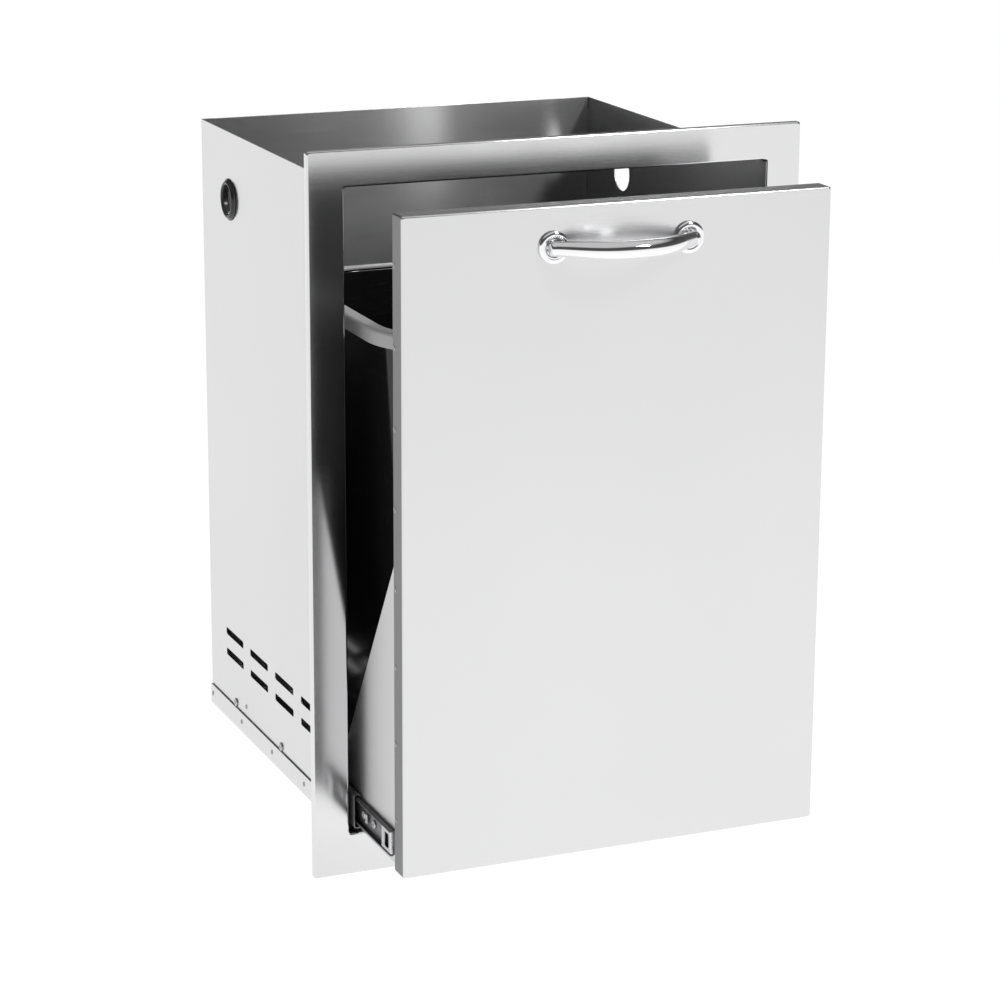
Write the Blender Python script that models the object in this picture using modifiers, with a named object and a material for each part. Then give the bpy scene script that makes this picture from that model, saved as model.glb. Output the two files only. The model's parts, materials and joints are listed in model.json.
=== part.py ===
"""Pull-out waste-bin drawer in a stainless steel housing, for a cut-out in a kitchen island.

Metres, +Z up. X runs across the drawer, -Y is the front. The origin is the centre of the
underside of the housing's base pan. Every part is drawn with the drawer shut, and an empty
for each moving body carries its parts to the rest pose, in which the drawer stands ajar.
"""
import bpy
import bmesh
from math import cos, pi, radians, sin
from mathutils import Matrix, Vector

# ---- driving dimensions ------------------------------------------------------------------
GAP = 0.0003                    # clearance between touching pieces
MERGE = 0.00005                 # points nearer than this are one point
SHEET = 0.0012                  # housing and drawer sheet steel
SKIN = 0.0010                   # door skins
BEND = 0.0020                   # outside radius of a folded edge

OPENING_WIDTH = 0.435
OPENING_HEIGHT = 0.635
STILE = 0.0365                  # face frame: width of the two side members
RAIL_TOP = 0.035
RAIL_BOTTOM = 0.042
FRAME_DEPTH = 0.008             # how far the face frame stands off the cabinet
FRAME_HEM = 0.008               # width of the hem that bears on the cabinet
FRAME_RETURN = 0.022            # the fold that lines the opening
FRAME_CORNER = 0.003            # corner radius of the frame and of its opening
HOUSING_DEPTH = 0.426           # base pan, front to back

LIP_HEIGHT = 0.0220             # base pan's upturned sides, spot-welded to the walls
WALL_RETURN = 0.014             # side walls' folds behind the back panel
BASE_END_GAP = 0.001            # the base pan stops short of the face frame's fold

VENT_LENGTH = 0.057
VENT_HEIGHT = 0.0075
VENT_CORNER = 0.0018
VENT_PITCH = 0.0803
VENT_COLUMNS = 4
VENT_MIDDLE_Y = 0.0093
VENT_ROWS = (0.0757, 0.0987)
PORT_Y = 0.121                  # round ports in the side walls
PORT_Z = 0.570
PORT_RADIUS = 0.019
GROMMET_BORE = 0.0150
GROMMET_FLANGE = 0.0025         # how far its lip covers the wall round the port
GROMMET_PROUD = 0.0046          # how far it stands off the middle of the wall
GROMMET_CREST = 0.0015          # from its bore to its crest
GROMMET_SHOULDER = 0.0014       # and from its shoulder to its rim
GROMMET_BACK_STEP = 0.001       # how much smaller its inner flange is

DOOR_SIDE_GAP = 0.003
DOOR_TOP_GAP = 0.0035
DOOR_BOTTOM_GAP = 0.005
DOOR_DEPTH = 0.0215
DOOR_LINER_FLANGE = 0.010
DOOR_BORDER = 0.012             # the edge strip round both skins
DOOR_CORNER = 0.0025
DOOR_INNER_CORNER = 0.0004      # the smallest corner radius of its inner rings

SLIDE_LENGTH = 0.400            # other places along the slide are measured from its front end
SLIDE_Z = 0.0270                # centre line of both slides
SLIDE_THICKNESS = 0.0127
SLIDE_OPEN = 0.138              # the drawer's opening in the rest pose
SLIDE_STANDOFF = 0.002          # from the face frame's fold back to the slides
OUTER_CAGE_SHARE = 0.25         # how far each floating layer runs for the drawer's travel
MIDDLE_SHARE = 0.5
INNER_CAGE_SHARE = 0.75
MIDDLE_SETBACK = 0.040          # the floating member starts this far behind the outer one
INNER_SETBACK = 0.0185          # and the inner member this far
RAIL_SCREWS = (0.0225, 0.1705, 0.3185)
DRAWER_SCREWS = (0.0705, 0.0985, 0.340)
BUMPER_LENGTH = 0.0057
BUMPER_HALF = 0.019
BUMPER_EDGE = 0.001
CLIP_LENGTH = 0.025
CLIP_HALF = 0.0112
CAGE_START = 0.1455
CAGE_LENGTH = 0.145
BALL_RADIUS = 0.0015
BALL_OFFSET = 0.0005            # from the middle of the cage, towards the drawer
BALLS_IN_ROW = 4
LEVER_START = 0.134
LEVER_LENGTH = 0.047
LEVER_HALF = 0.003
LEVER_BOSS = 0.0022

BRACKET_TOP = 0.3355
BRACKET_LOW = 0.0527
BRACKET_SLOPE_END = 0.1727      # how far back the sloping edge runs
BRACKET_BOTTOM = 0.0065
BRACKET_FLANGE_DROP = 0.004     # the front flange stops short of the top
DRAWER_LENGTH = 0.390
DRAWER_FLANGE = 0.014
TRAY_LIP = 0.0125
CROSS_PANEL_RISE = 0.0140       # the cross panel's lower edge above the tray's underside

BIN_HALF_WIDTH = 0.200
BIN_HALF_LENGTH = 0.179
BIN_TOP = 0.508
BIN_WALL = 0.0022
BIN_LIP = 0.010                 # height of the turned-down lip at the tub's mouth
BIN_RIM = 0.0115                # from the ring's outside to the tub's wall
BIN_RIM_RADIUS = 0.003
RING_SKIRT = 0.0145
RING_WALL = 0.0022
RING_CLEARANCE = 0.0006         # between the ring's skirt and the tub's lip
BIN_CORNER = 0.085
BIN_CORNER_SHARE = 0.6          # how much its corners tighten for each step inward
BIN_TAPER = 0.024
BIN_FOOT = 0.018                # radius where its walls meet its floor
BIN_FOOT_STEPS = 3
BIN_CLEARANCE = 0.0222          # between the rim and the door's liner

HANDLE_HALF_SPAN = 0.0675
HANDLE_BELOW_TOP = 0.0375
HANDLE_REACH = 0.036            # the bow's centre line in front of the door, in the middle
HANDLE_LIFT = 0.0078            # and at its ends
HANDLE_RISE = (0.024, -0.015)   # how the bow leaves its ends
HANDLE_FLAT = 0.036             # half the stretch that runs level in the middle
HANDLE_END_RADIUS = 0.0070
HANDLE_MID_RADIUS = 0.0088
HANDLE_SOCKET = 0.008           # depth of its screw holes
ROSETTE_RADIUS = 0.0152
ROSETTE_HEIGHT = 0.0042
ROSETTE_CLEARANCE = 0.0012      # between the rosette and the handle
ROSETTE_INNER_EASE = 0.0016     # how far its dome slopes, inside and outside
ROSETTE_OUTER_EASE = 0.0024

SCREW_SHANK = 0.0020
SCREW_HOLE = 0.0024
HOLE_DEPTH = 0.008              # length of the cutter for a screw hole
CUT_DEPTH = 0.010               # and of those for the vents and ports
SCREW_HEAD = 0.0045
SCREW_HEAD_HEIGHT = 0.0015
RAIL_SCREW_LENGTH = 0.0042
DRAWER_SCREW_LENGTH = 0.0042
HANDLE_SCREW_LENGTH = 0.0060

# ---- derived places ----------------------------------------------------------------------
OPENING_BOTTOM = 2 * SHEET + GAP
OPENING_TOP = OPENING_BOTTOM + OPENING_HEIGHT
OPENING_HALF = OPENING_WIDTH / 2
FRAME_HALF = OPENING_HALF + STILE
FRAME_BOTTOM = OPENING_BOTTOM - RAIL_BOTTOM
FRAME_TOP = OPENING_TOP + RAIL_TOP
BASE_FRONT = -HOUSING_DEPTH / 2
BASE_BACK = HOUSING_DEPTH / 2
FRAME_FRONT = BASE_FRONT - GAP - SHEET
WALL_INNER = OPENING_HALF + SHEET + GAP
WALL_OUTER = WALL_INNER + SHEET
WALL_TOP = OPENING_TOP + SHEET + GAP
WALL_BOTTOM = SHEET + GAP
LIP_OUTER = WALL_OUTER + GAP + SHEET
BACK_PANEL_BACK = BASE_BACK - SHEET - GAP
BACK_PANEL_FRONT = BACK_PANEL_BACK - SHEET

SLIDE_FRONT = FRAME_FRONT + FRAME_RETURN + SLIDE_STANDOFF
SLIDE_BACK = SLIDE_FRONT + SLIDE_LENGTH
MEMBER_BACK = SLIDE_BACK - BUMPER_LENGTH - 3 * GAP
DOOR_HALF = OPENING_HALF - DOOR_SIDE_GAP
DOOR_BOTTOM = OPENING_BOTTOM + DOOR_BOTTOM_GAP
DOOR_TOP = OPENING_TOP - DOOR_TOP_GAP
DOOR_BACK = FRAME_FRONT + DOOR_DEPTH
BRACKET_OUTER = WALL_INNER - SLIDE_THICKNESS - GAP
BRACKET_INNER = BRACKET_OUTER - SHEET
BRACKET_FRONT = DOOR_BACK + GAP
DRAWER_BACK = BRACKET_FRONT + DRAWER_LENGTH
TRAY_BOTTOM = BRACKET_BOTTOM + SHEET + GAP
BIN_BOTTOM = TRAY_BOTTOM + SHEET + GAP
BIN_MIDDLE_Y = BRACKET_FRONT + BIN_CLEARANCE + BIN_HALF_LENGTH
HANDLE_Z = DOOR_TOP - HANDLE_BELOW_TOP

# Distances of the slide's layers from the side wall, towards the drawer.
OUTER_WEB = GAP
OUTER_LIP = 0.0114
CAGE_OUTER_WEB = 0.0036
CAGE_OUTER_LIP = 0.0098
MIDDLE_WEB = 0.0045
MIDDLE_LIP = 0.0114
CAGE_INNER_WEB = 0.0060
CAGE_INNER_LIP = 0.0108
INNER_WEB = SLIDE_THICKNESS
INNER_LIP = 0.0069
LEVER_NEAR = 0.0080
LEVER_FAR = 0.0092
BUMPER_FAR = 0.0110
SLIDE_SHEET = 0.0012
CAGE_SHEET = 0.0006
# Half heights of the same layers.
OUTER_HALF = 0.0225
MIDDLE_HALF = 0.0177
INNER_HALF = 0.0129
INNER_FRONT = SLIDE_FRONT + INNER_SETBACK
CAGE_FRONT = SLIDE_FRONT + CAGE_START
LEVER_FRONT = SLIDE_FRONT + LEVER_START

SIDES = (("left", -1), ("right", 1))
SCREW_PLACES = ("front", "middle", "rear")


# ---- scene and finishing -----------------------------------------------------------------
for old in list(bpy.data.objects):
    bpy.data.objects.remove(old, do_unlink=True)

parts = bpy.data.collections.new("pull_out_bin_drawer")
tools = bpy.data.collections.new("cutters")
bpy.context.scene.collection.children.link(parts)
bpy.context.scene.collection.children.link(tools)


def material(name, color, metallic, roughness):
    """A Principled material in one colour."""
    made = bpy.data.materials.new(name)
    made.use_nodes = True
    shader = made.node_tree.nodes["Principled BSDF"]
    shader.inputs["Base Color"].default_value = (*color, 1.0)
    shader.inputs["Metallic"].default_value = metallic
    shader.inputs["Roughness"].default_value = roughness
    return made


FINISHES = {
    "steel": ((0.72, 0.72, 0.73), 1.0, 0.32),
    "chrome": ((0.90, 0.90, 0.91), 1.0, 0.06),
    "slide_steel": ((0.05, 0.05, 0.055), 0.6, 0.40),
    "zinc": ((0.66, 0.67, 0.68), 1.0, 0.35),
    "bin_plastic": ((0.02, 0.02, 0.02), 0.0, 0.30),
    "rim_plastic": ((0.20, 0.20, 0.205), 0.0, 0.45),
    "rubber": ((0.03, 0.03, 0.03), 0.0, 0.75),
    "nylon": ((0.30, 0.31, 0.32), 0.0, 0.50),
}


def body(name, opening):
    """An empty that stands for a moving body, carried forward by the drawer's opening."""
    empty = bpy.data.objects.new(name, None)
    empty.location = (0, -opening, 0)
    empty.hide_render = True
    tools.objects.link(empty)
    return empty


def add(obj, finish, parent=None):
    """Put a finished part in the parts collection, with a material of its own."""
    for home in list(obj.users_collection):
        home.objects.unlink(obj)
    parts.objects.link(obj)
    obj.parent = parent
    obj.data.materials.clear()
    obj.data.materials.append(material(obj.name, *FINISHES[finish]))
    return obj


def as_tool(obj, parent=None):
    """Put a cutter or a joining piece in the cutters collection, out of sight."""
    for home in list(obj.users_collection):
        home.objects.unlink(obj)
    tools.objects.link(obj)
    obj.parent = parent
    obj.hide_render = True
    obj.display_type = "WIRE"
    return obj


def boolean(obj, other, operation):
    """Cut another object from this one, or join it on."""
    modifier = obj.modifiers.new(f"{operation.lower()}_{other.name}", "BOOLEAN")
    modifier.operation = operation
    modifier.object = other
    return obj


# ---- shape makers ------------------------------------------------------------------------
def from_bmesh(name, mesh):
    """A new object that holds a bmesh."""
    data = bpy.data.meshes.new(name)
    mesh.to_mesh(data)
    mesh.free()
    return bpy.data.objects.new(name, data)


def box(name, low, high):
    """A block between two corners, with its origin at its centre."""
    size = [b - a for a, b in zip(low, high)]
    mesh = bmesh.new()
    bmesh.ops.create_cube(mesh, size=1.0, matrix=Matrix.Diagonal((*size, 1.0)))
    obj = from_bmesh(name, mesh)
    obj.location = [(a + b) / 2 for a, b in zip(low, high)]
    return obj


def rod(name, centre, axis, radius, length, sides=12):
    """A cylinder whose middle is at the centre given."""
    mesh = bmesh.new()
    bmesh.ops.create_cone(mesh, cap_ends=True, segments=sides, radius1=radius, radius2=radius,
                          depth=length)
    obj = from_bmesh(name, mesh)
    obj.location = centre
    obj.rotation_mode = "QUATERNION"
    obj.rotation_quaternion = Vector((0, 0, 1)).rotation_difference(Vector(axis))
    return obj


def rounded_path(points, radius, steps=2):
    """The path with each inner corner replaced by an arc."""
    path = [Vector(points[0])]
    for before, corner, after in zip(points, points[1:], points[2:]):
        corner = Vector(corner)
        back = (Vector(before) - corner).normalized()
        ahead = (Vector(after) - corner).normalized()
        for step in range(steps + 1):
            turn = pi / 2 * step / steps
            path.append(corner + back * radius * (1 - sin(turn)) + ahead * radius * (1 - cos(turn)))
    path.append(Vector(points[-1]))
    return path


def rounded_rectangle(low_u, high_u, low_v, high_v, radius, steps=2):
    """Corner points of a rectangle with round corners, anticlockwise."""
    outline = []
    corners = ((high_u - radius, high_v - radius, 0), (low_u + radius, high_v - radius, 90),
               (low_u + radius, low_v + radius, 180), (high_u - radius, low_v + radius, 270))
    for u, v, start in corners:
        for step in range(steps + 1):
            angle = radians(start + 90 * step / steps)
            outline.append((u + radius * cos(angle), v + radius * sin(angle)))
    return outline


def thicken(obj, thickness, rim_inside):
    """Give an open surface its sheet thickness, on the side its normals point away from."""
    modifier = obj.modifiers.new("sheet", "SOLIDIFY")
    modifier.thickness = thickness
    modifier.offset = -1.0 if rim_inside else 1.0
    modifier.use_even_offset = True
    return obj


def ring_shell(name, rings, thickness, inside=True, closed_end=True):
    """A sheet that follows a stack of rings of equal length, closed at the last ring or not."""
    mesh = bmesh.new()
    stack = [[mesh.verts.new(point) for point in ring] for ring in rings]
    for ring, following in zip(stack, stack[1:]):
        for i, vertex in enumerate(ring):
            j = (i + 1) % len(ring)
            mesh.faces.new((vertex, ring[j], following[j], following[i]))
    if closed_end:
        mesh.faces.new(stack[-1])
    return thicken(from_bmesh(name, mesh), thickness, inside)


def folded_sheet(name, path, along, low, high, thickness, inside=True):
    """A sheet bent along a path in one plane and drawn out along the axis across it."""
    mesh = bmesh.new()
    rows = []
    for a, b in path:
        ends = []
        for reach in (low, high):
            point = [a, b]
            point.insert(along, reach)
            ends.append(mesh.verts.new(point))
        rows.append(ends)
    for near, far in zip(rows, rows[1:]):
        mesh.faces.new((near[0], near[1], far[1], far[0]))
    return thicken(from_bmesh(name, mesh), thickness, inside)


def plate(name, outlines, thickness):
    """Flat plates in the YZ plane, one for each outline, drawn out along X."""
    mesh = bmesh.new()
    for outline in outlines:
        face = mesh.faces.new([mesh.verts.new((0, y, z)) for y, z in outline])
        drawn = bmesh.ops.extrude_face_region(mesh, geom=[face])
        moved = [item for item in drawn["geom"] if isinstance(item, bmesh.types.BMVert)]
        bmesh.ops.translate(mesh, verts=moved, vec=(thickness, 0, 0))
    bmesh.ops.recalc_face_normals(mesh, faces=mesh.faces)
    return from_bmesh(name, mesh)


def hole(name, place, axis, parent=None):
    """A cutter for a screw hole through one sheet."""
    return as_tool(rod(name, place, axis, SCREW_HOLE, HOLE_DEPTH), parent)


def turned(name, profile, centre, axis, steps=16):
    """A solid of revolution: a profile of (radius, height) that starts on the axis, or a ring's."""
    mesh = bmesh.new()
    vertices = [mesh.verts.new((radius, 0, height)) for radius, height in profile]
    for first, second in zip(vertices, vertices[1:]):
        mesh.edges.new((first, second))
    if profile[0][0] > 0:
        mesh.edges.new((vertices[-1], vertices[0]))
    obj = from_bmesh(name, mesh)
    screw = obj.modifiers.new("turn", "SCREW")
    screw.steps = steps
    screw.render_steps = steps
    screw.use_merge_vertices = True
    screw.merge_threshold = MERGE
    obj.location = centre
    obj.rotation_mode = "QUATERNION"
    obj.rotation_quaternion = Vector((0, 0, 1)).rotation_difference(Vector(axis))
    return obj


def screw(name, seat, axis, length, finish, parent=None):
    """A pan-head screw whose head stands on its seat and whose shank runs the other way."""
    profile = ((0, SCREW_HEAD_HEIGHT), (SCREW_HEAD * 0.7, SCREW_HEAD_HEIGHT),
               (SCREW_HEAD, SCREW_HEAD_HEIGHT * 0.4), (SCREW_HEAD, 0), (SCREW_SHANK, 0),
               (SCREW_SHANK, -length), (0, -length))
    return add(turned(name, profile, seat, axis, steps=10), finish, parent)


# ---- housing -----------------------------------------------------------------------------
def face_frame():
    """The flange round the opening: hem, outer edge, face and the fold that lines the opening."""
    outline = rounded_path(
        ((FRAME_HEM, FRAME_DEPTH), (0, FRAME_DEPTH), (0, 0), (STILE, 0), (STILE, FRAME_RETURN)),
        BEND)
    rings = []
    for inset, depth in outline:
        share = inset / STILE
        half = FRAME_HALF - inset
        bottom = FRAME_BOTTOM + RAIL_BOTTOM * share
        top = FRAME_TOP - RAIL_TOP * share
        ring = rounded_rectangle(-half, half, bottom, top, FRAME_CORNER)
        rings.append([(x, FRAME_FRONT + depth, z) for x, z in ring])
    return add(ring_shell("face_frame", rings, SHEET, inside=True, closed_end=False), "steel")


def vent_cutter(side, sign):
    """Two rows of slots, as one cutter that passes through a side wall."""
    first = VENT_MIDDLE_Y - VENT_PITCH * (VENT_COLUMNS - 1) / 2
    outlines = []
    for z in VENT_ROWS:
        for column in range(VENT_COLUMNS):
            middle = first + VENT_PITCH * column
            outlines.append(rounded_rectangle(middle - VENT_LENGTH / 2, middle + VENT_LENGTH / 2,
                                              z - VENT_HEIGHT / 2, z + VENT_HEIGHT / 2, VENT_CORNER))
    cutter = plate(f"vents_{side}", outlines, CUT_DEPTH)
    cutter.location = (sign * (WALL_INNER + SHEET / 2) - CUT_DEPTH / 2, 0, 0)
    return as_tool(cutter)


def side_wall(side, sign):
    """A side wall with its fold behind the back panel, its vents and its round port."""
    corner = (WALL_OUTER, BASE_BACK)
    path = rounded_path(
        ((WALL_OUTER, BASE_FRONT + GAP), corner, (WALL_OUTER - WALL_RETURN, BASE_BACK)), BEND)
    wall = folded_sheet(f"{side}_side_wall", [(sign * x, y) for x, y in path], 2,
                        WALL_BOTTOM, WALL_TOP, SHEET, inside=sign < 0)
    boolean(wall, vent_cutter(side, sign), "DIFFERENCE")
    port = rod(f"port_{side}", (sign * WALL_OUTER, PORT_Y, PORT_Z), (1, 0, 0), PORT_RADIUS, CUT_DEPTH, 24)
    boolean(wall, as_tool(port), "DIFFERENCE")
    for y, z in rail_screw_places():
        place = (sign * WALL_OUTER, y, z)
        boolean(wall, hole(f"wall_hole_{side}_{y:.3f}", place, (1, 0, 0)), "DIFFERENCE")
    return add(wall, "steel")


def rail_screw_places():
    """Where the outer slide members are screwed to the side walls."""
    return [(SLIDE_FRONT + reach, SLIDE_Z) for reach in RAIL_SCREWS]


def back_panel():
    """The flat back, in front of the side walls' folds."""
    half = WALL_INNER - BEND / 2
    panel = box("back_panel", (-half, BACK_PANEL_FRONT, WALL_BOTTOM), (half, BACK_PANEL_BACK, WALL_TOP))
    return add(panel, "steel")


def base_pan():
    """The base, whose upturned lips clasp the side walls from outside."""
    left, right = -LIP_OUTER, LIP_OUTER
    path = rounded_path(((left, LIP_HEIGHT), (left, 0), (right, 0), (right, LIP_HEIGHT)), SHEET * 1.1)
    reach = HOUSING_DEPTH / 2 - BASE_END_GAP
    return add(folded_sheet("base_pan", path, 1, -reach, reach, SHEET, inside=True), "steel")


def rail_screws(side, sign):
    """Screws from outside, through the side wall and into the outer slide member."""
    for place, (y, z) in zip(SCREW_PLACES, rail_screw_places()):
        seat = (sign * (WALL_OUTER + GAP), y, z)
        screw(f"rail_screw_{side}_{place}", seat, (sign, 0, 0), RAIL_SCREW_LENGTH, "zinc")


def grommet():
    """A ring that lines the left wall's port, gripping the wall in its groove."""
    groove = SHEET / 2 + GAP
    neck = PORT_RADIUS - GAP
    lip = PORT_RADIUS + GROMMET_FLANGE
    back_lip = lip - GROMMET_BACK_STEP
    proud = GROMMET_PROUD
    profile = ((GROMMET_BORE, proud * 0.8), (GROMMET_BORE + GROMMET_CREST, proud),
               (lip - GROMMET_SHOULDER, proud * 0.87), (lip, proud * 0.48), (lip, groove), (neck, groove),
               (neck, -groove), (back_lip, -groove), (back_lip, -proud * 0.55),
               (GROMMET_BORE + GROMMET_BACK_STEP, -proud * 0.7), (GROMMET_BORE, -proud * 0.48))
    middle = (-(WALL_OUTER - SHEET / 2), PORT_Y, PORT_Z)
    return add(turned("left_grommet", profile, middle, (-1, 0, 0), steps=24), "rubber")


# ---- slides ------------------------------------------------------------------------------
def channel(name, sign, web, lip, half, front, back, sheet):
    """A C-shaped slide member, its web and its lips given as distances from the side wall."""
    path = rounded_path(((lip, half), (web, half), (web, -half), (lip, -half)), sheet * 1.4)
    points = [(sign * (WALL_INNER - depth), SLIDE_Z + height) for depth, height in path]
    opens_to_drawer = lip > web
    return folded_sheet(name, points, 1, front, back, sheet, inside=(sign > 0) != opens_to_drawer)


def outer_rail(side, sign):
    """The slide member that is screwed to the side wall."""
    rail = channel(f"outer_rail_{side}", sign, OUTER_WEB, OUTER_LIP, OUTER_HALF, SLIDE_FRONT,
                   SLIDE_BACK, SLIDE_SHEET)
    for y, z in rail_screw_places():
        place = (sign * WALL_INNER, y, z)
        boolean(rail, hole(f"outer_hole_{side}_{y:.3f}", place, (1, 0, 0)), "DIFFERENCE")
    return add(rail, "slide_steel")


def rail_bumper(side, sign):
    """The rubber stop in the rear end of the outer member."""
    near = sign * (WALL_INNER - OUTER_WEB - SLIDE_SHEET - GAP)
    far = sign * (WALL_INNER - BUMPER_FAR)
    block = box(f"rail_bumper_{side}", (min(near, far), SLIDE_BACK - BUMPER_LENGTH, SLIDE_Z - BUMPER_HALF),
                (max(near, far), SLIDE_BACK, SLIDE_Z + BUMPER_HALF))
    edges = block.modifiers.new("edges", "BEVEL")
    edges.width = BUMPER_EDGE
    edges.segments = 1
    return add(block, "rubber")


def middle_rail(side, sign, parent):
    """The floating member, which runs half as far as the drawer."""
    rail = channel(f"middle_rail_{side}", sign, MIDDLE_WEB, MIDDLE_LIP, MIDDLE_HALF,
                   SLIDE_FRONT + MIDDLE_SETBACK, MEMBER_BACK, SLIDE_SHEET)
    return add(rail, "slide_steel", parent)


def slide_end_clip(side, sign, parent):
    """The bright U-shaped clip inside the front end of the inner member."""
    face = WALL_INNER - INNER_LIP - SLIDE_SHEET
    root = WALL_INNER - INNER_WEB + SLIDE_SHEET + 2 * GAP
    front = INNER_FRONT + GAP
    path = rounded_path(((root, front), (face, front), (face, front + CLIP_LENGTH),
                         (root, front + CLIP_LENGTH)), SLIDE_SHEET * 1.2)
    clip = folded_sheet(f"slide_end_clip_{side}", [(sign * x, y) for x, y in path], 2,
                        SLIDE_Z - CLIP_HALF, SLIDE_Z + CLIP_HALF, SLIDE_SHEET, inside=sign < 0)
    return add(clip, "zinc", parent)


def ball_cage(name, sign, web, lip, half, parent):
    """A pressed cage that holds two rows of balls between two slide members."""
    cage = channel(name, sign, web, lip, half, CAGE_FRONT, CAGE_FRONT + CAGE_LENGTH, CAGE_SHEET)
    balls = bmesh.new()
    middle = (web + lip) / 2 + BALL_OFFSET
    for row in (-1, 1):
        for index in range(BALLS_IN_ROW):
            y = CAGE_FRONT + CAGE_LENGTH * (index + 0.5) / BALLS_IN_ROW
            place = Vector((sign * (WALL_INNER - middle), y, SLIDE_Z + row * (half - CAGE_SHEET / 2)))
            bmesh.ops.create_uvsphere(balls, u_segments=6, v_segments=4, radius=BALL_RADIUS,
                                      matrix=Matrix.Translation(place))
    boolean(cage, as_tool(from_bmesh(f"{name}_balls", balls), parent), "UNION")
    return add(cage, "zinc", parent)


def inner_rail(side, sign, parent):
    """The member that is screwed to the drawer's side bracket."""
    rail = channel(f"inner_rail_{side}", sign, INNER_WEB, INNER_LIP, INNER_HALF, INNER_FRONT,
                   MEMBER_BACK, SLIDE_SHEET)
    for y in drawer_screw_places():
        place = (sign * (WALL_INNER - INNER_WEB), y, SLIDE_Z)
        boolean(rail, hole(f"inner_hole_{side}_{y:.3f}", place, (1, 0, 0), parent), "DIFFERENCE")
    return add(rail, "slide_steel", parent)


def drawer_screw_places():
    """Where the inner members are screwed to the drawer's brackets."""
    return [SLIDE_FRONT + reach for reach in DRAWER_SCREWS]


def release_lever(side, sign, parent):
    """A small sprung lever inside the inner member, which frees the drawer from its slides."""
    near = WALL_INNER - LEVER_NEAR
    far = WALL_INNER - LEVER_FAR
    pivot_y = LEVER_FRONT + LEVER_LENGTH
    outline = rounded_rectangle(-LEVER_LENGTH, LEVER_HALF, -LEVER_HALF, LEVER_HALF, LEVER_HALF * 0.8)
    lever = plate(f"release_lever_{side}", [outline], sign * (near - far))
    lever.location = (sign * far, pivot_y, SLIDE_Z)
    boss_start = WALL_INNER - INNER_WEB + SLIDE_SHEET + GAP
    boss_end = near - GAP
    boss = rod(f"lever_boss_{side}", (sign * (boss_start + boss_end) / 2, pivot_y, SLIDE_Z), (1, 0, 0),
               LEVER_BOSS, boss_end - boss_start)
    boolean(lever, as_tool(boss, parent), "UNION")
    return add(lever, "nylon", parent)


# ---- drawer ------------------------------------------------------------------------------
def door_rings(outline, clearance):
    """Rings in the door's outline, from (inset, depth behind the frame's face) pairs."""
    rings = []
    for inset, depth in outline:
        reach = inset + clearance
        ring = rounded_rectangle(-DOOR_HALF + reach, DOOR_HALF - reach, DOOR_BOTTOM + reach,
                                 DOOR_TOP - reach, max(DOOR_CORNER - reach, DOOR_INNER_CORNER))
        rings.append([(x, FRAME_FRONT + depth, z) for x, z in ring])
    return rings


def door_front_panel(parent):
    """The door's front skin, a pan folded back round its edges."""
    outline = rounded_path(((0, DOOR_DEPTH), (0, 0), (DOOR_BORDER, 0)), BEND)
    panel = ring_shell("door_front_panel", door_rings(outline, 0), SKIN, inside=True)
    for side, sign in SIDES:
        place = (sign * HANDLE_HALF_SPAN, FRAME_FRONT, HANDLE_Z)
        boolean(panel, hole(f"handle_hole_{side}", place, (0, 1, 0), parent), "DIFFERENCE")
    return add(panel, "steel", parent)


def door_back_panel(parent):
    """The door's liner, a shallower pan that closes the back of the front skin."""
    depths = ((0, DOOR_DEPTH - DOOR_LINER_FLANGE), (0, DOOR_DEPTH), (DOOR_BORDER, DOOR_DEPTH))
    rings = door_rings(rounded_path(depths, BEND * 0.6), SKIN + GAP)
    return add(ring_shell("door_back_panel", rings, SKIN, inside=False), "steel", parent)


def side_bracket(side, sign, parent):
    """A gusset that hangs the door on the slide: a sloping plate with a front and a bottom flange."""
    back = DRAWER_BACK - BRACKET_FRONT
    height = BRACKET_TOP - BRACKET_BOTTOM
    low = BRACKET_LOW - BRACKET_BOTTOM
    outline = ((0, 0), (back, 0), (back, low), (BRACKET_SLOPE_END, low), (0, height))
    bracket = plate(f"side_bracket_{side}", [outline], -sign * SHEET)
    bracket.location = (sign * BRACKET_OUTER, BRACKET_FRONT, BRACKET_BOTTOM)
    flange_end = sign * (BRACKET_OUTER - DRAWER_FLANGE)
    flange_root = sign * (BRACKET_OUTER - SHEET / 2)
    low_x, high_x = sorted((flange_end, flange_root))
    front = box(f"bracket_front_{side}", (low_x, BRACKET_FRONT, BRACKET_BOTTOM),
                (high_x, BRACKET_FRONT + SHEET, BRACKET_TOP - BRACKET_FLANGE_DROP))
    bottom = box(f"bracket_bottom_{side}", (low_x, BRACKET_FRONT, BRACKET_BOTTOM),
                 (high_x, DRAWER_BACK, BRACKET_BOTTOM + SHEET))
    boolean(bracket, as_tool(front, parent), "UNION")
    boolean(bracket, as_tool(bottom, parent), "UNION")
    for y in drawer_screw_places():
        place = (sign * BRACKET_OUTER, y, SLIDE_Z)
        boolean(bracket, hole(f"bracket_hole_{side}_{y:.3f}", place, (1, 0, 0), parent), "DIFFERENCE")
    return add(bracket, "steel", parent)


def drawer_screws(side, sign, parent):
    """Screws that hold the inner slide member to the bracket."""
    seat = sign * (WALL_INNER - INNER_WEB + SLIDE_SHEET + GAP)
    for place, y in zip(SCREW_PLACES, drawer_screw_places()):
        screw(f"drawer_screw_{side}_{place}", (seat, y, SLIDE_Z), (sign, 0, 0), DRAWER_SCREW_LENGTH,
              "zinc", parent)


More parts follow.
